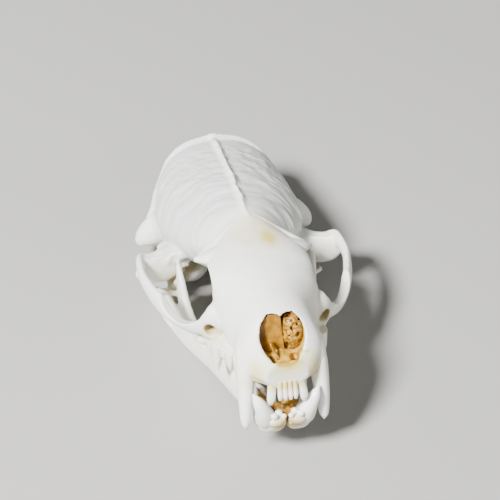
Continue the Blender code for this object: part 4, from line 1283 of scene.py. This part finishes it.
def stain_jaw(piece):
    """The lower jaw's stains: amber inside and on the chin, straw round the front teeth, and dust and painted
    shade in its hollows, the chin darkened with them.
    """
    co = in_skull_frame(piece, LOWER)
    x, y, z = co.T
    inner = fade(-np.abs(x), -2.6, -1.6) * fade(-y, -12.0, -9.0) * fade(z, -6.5, -5.0)
    chin = patch(co, CHIN, (2.9, 2.6, 1.9))
    # dust and painted shade in the hollows, and the chin darkened with the same colour
    dust_and_shade = fade(recess[piece.name], SHADE_AND_DUST_STARTS, SHADE_AND_DUST_FULL) * SHADE_AND_DUST_SHARE
    give(piece, "recess", np.clip(dust_and_shade + chin * 0.3, 0, 1))
    give(piece, "stain", patch(co, (0.0, 1.0, -4.4), (3.4, 2.4, 2.6)) * 0.35)
    give(piece, "amber", np.maximum(inner * fade(y, 1.6, 2.8), chin * 0.7))


def stain_teeth(piece, matrix, down):
    """Yellows the necks of teeth that hang down (1) or stand up (-1), and gives them painted shade and dust
    where they sit in recesses.
    """
    to_root = in_skull_frame(piece, matrix)[:, 2] * down
    neck = UPPER_NECK if down > 0 else LOWER_NECK
    strength = 0.9 if piece is incisors_upper else 0.25
    # painted shade and dust where the tooth sits in a recess
    give(piece, "recess", fade(recess[piece.name], 0.35, 0.9) * 0.6)
    give(piece, "neck", fade(to_root, neck - 1.5, neck + 0.3) * strength)


stain_upper(core)
for piece in upper_pieces:
    if "canine" in piece.name or "teeth" in piece.name or "incisor" in piece.name:
        stain_teeth(piece, UPPER, 1)
for piece in lower_pieces:
    if piece.name.startswith("jaw_bone"):
        stain_jaw(piece)
    elif piece is not dried_gum:
        stain_teeth(piece, LOWER, -1)
# painted shade in the deep places of the nose's amber pieces and of the dried gum
for piece in (scrolls, nose_wall, nose_ridge, dried_gum):
    give(piece, "recess", fade(recess[piece.name], 0.4, 0.95) * 0.35)
given_names = ("recess", "stain", "amber", "temple")
print("attributes on", core.name, ":", [a.name for a in core.data.attributes if a.name in given_names])

# %% [markdown]
# Each piece gets its material, smooth shading, and a place on the one body, root: nothing on a
# still skull moves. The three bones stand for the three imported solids, which have the teeth fused on.
# Attributes that only helped to shape a piece are taken off again.

# %% Finish and ride
def finish_piece(piece, material):
    piece.data.materials.clear()
    piece.data.materials.append(material)
    piece.data.polygons.foreach_set("use_smooth", [True] * len(piece.data.polygons))
    for spare in ("arcs", "marks", "lumps", "size", "lean"):
        if spare in piece.data.attributes:
            piece.data.attributes.remove(piece.data.attributes[spare])
    piece.data.update()
    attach(piece, "root")


finishes = {core: bone_white, scrolls: amber, nose_wall: smooth_amber, nose_ridge: amber, dried_gum: amber}
for piece in upper_pieces:
    finish_piece(piece, finishes.get(piece, enamel))
for piece in lower_pieces:
    own = jaw_white if piece.name.startswith("jaw_bone") else enamel
    finish_piece(piece, finishes.get(piece, own))
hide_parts("cranium")
for side in ("left", "right"):
    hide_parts("jaw_" + side)
print("pieces:", len(upper_pieces) + len(lower_pieces))

# %% [markdown]
# The skull stands on a plain pale floor. A soft lamp above the camera's left shoulder lights the
# forehead and lets the right side of the braincase fall into a light grey, as window light does. It is
# small enough to draw the muscle marks and large enough to keep its shadows soft. A weak wide lamp from
# the other side keeps the inner side of the cheek arch readable.

# %% Floor and light
def pale_floor():
    bm = bmesh.new()
    bmesh.ops.create_grid(bm, x_segments=8, y_segments=8, size=2.0)
    floor = mesh_object("floor", bm)
    material = bpy.data.materials.new("pale_floor")
    material.use_nodes = True
    shader = material.node_tree.nodes["Principled BSDF"]
    shader.inputs["Base Color"].default_value = linear("#989794")
    shader.inputs["Roughness"].default_value = 0.9
    floor.data.materials.append(material)
    return floor


def soft_lamp(name, place, size, watts, target=(0, 0, 0.012)):
    data = bpy.data.lights.new(name, "AREA")
    data.shape = "DISK"
    data.size = size
    data.energy = watts
    lamp = bpy.data.objects.new(name, data)
    lamp.location = place
    lamp.rotation_euler = (Vector(target) - Vector(place)).to_track_quat("-Z", "Y").to_euler()
    bpy.context.scene.collection.objects.link(lamp)
    return lamp


pale_floor()
soft_lamp("key", (-0.44, -0.28, 0.60), 0.18, 29.0)
soft_lamp("fill", (0.5, -0.5, 0.35), 0.6, 2.0)
world = bpy.data.worlds.new("room")
bpy.context.scene.world = world
world.use_nodes = True
world.node_tree.nodes["Background"].inputs["Color"].default_value = linear("#F2F2F0")
world.node_tree.nodes["Background"].inputs["Strength"].default_value = 0.26
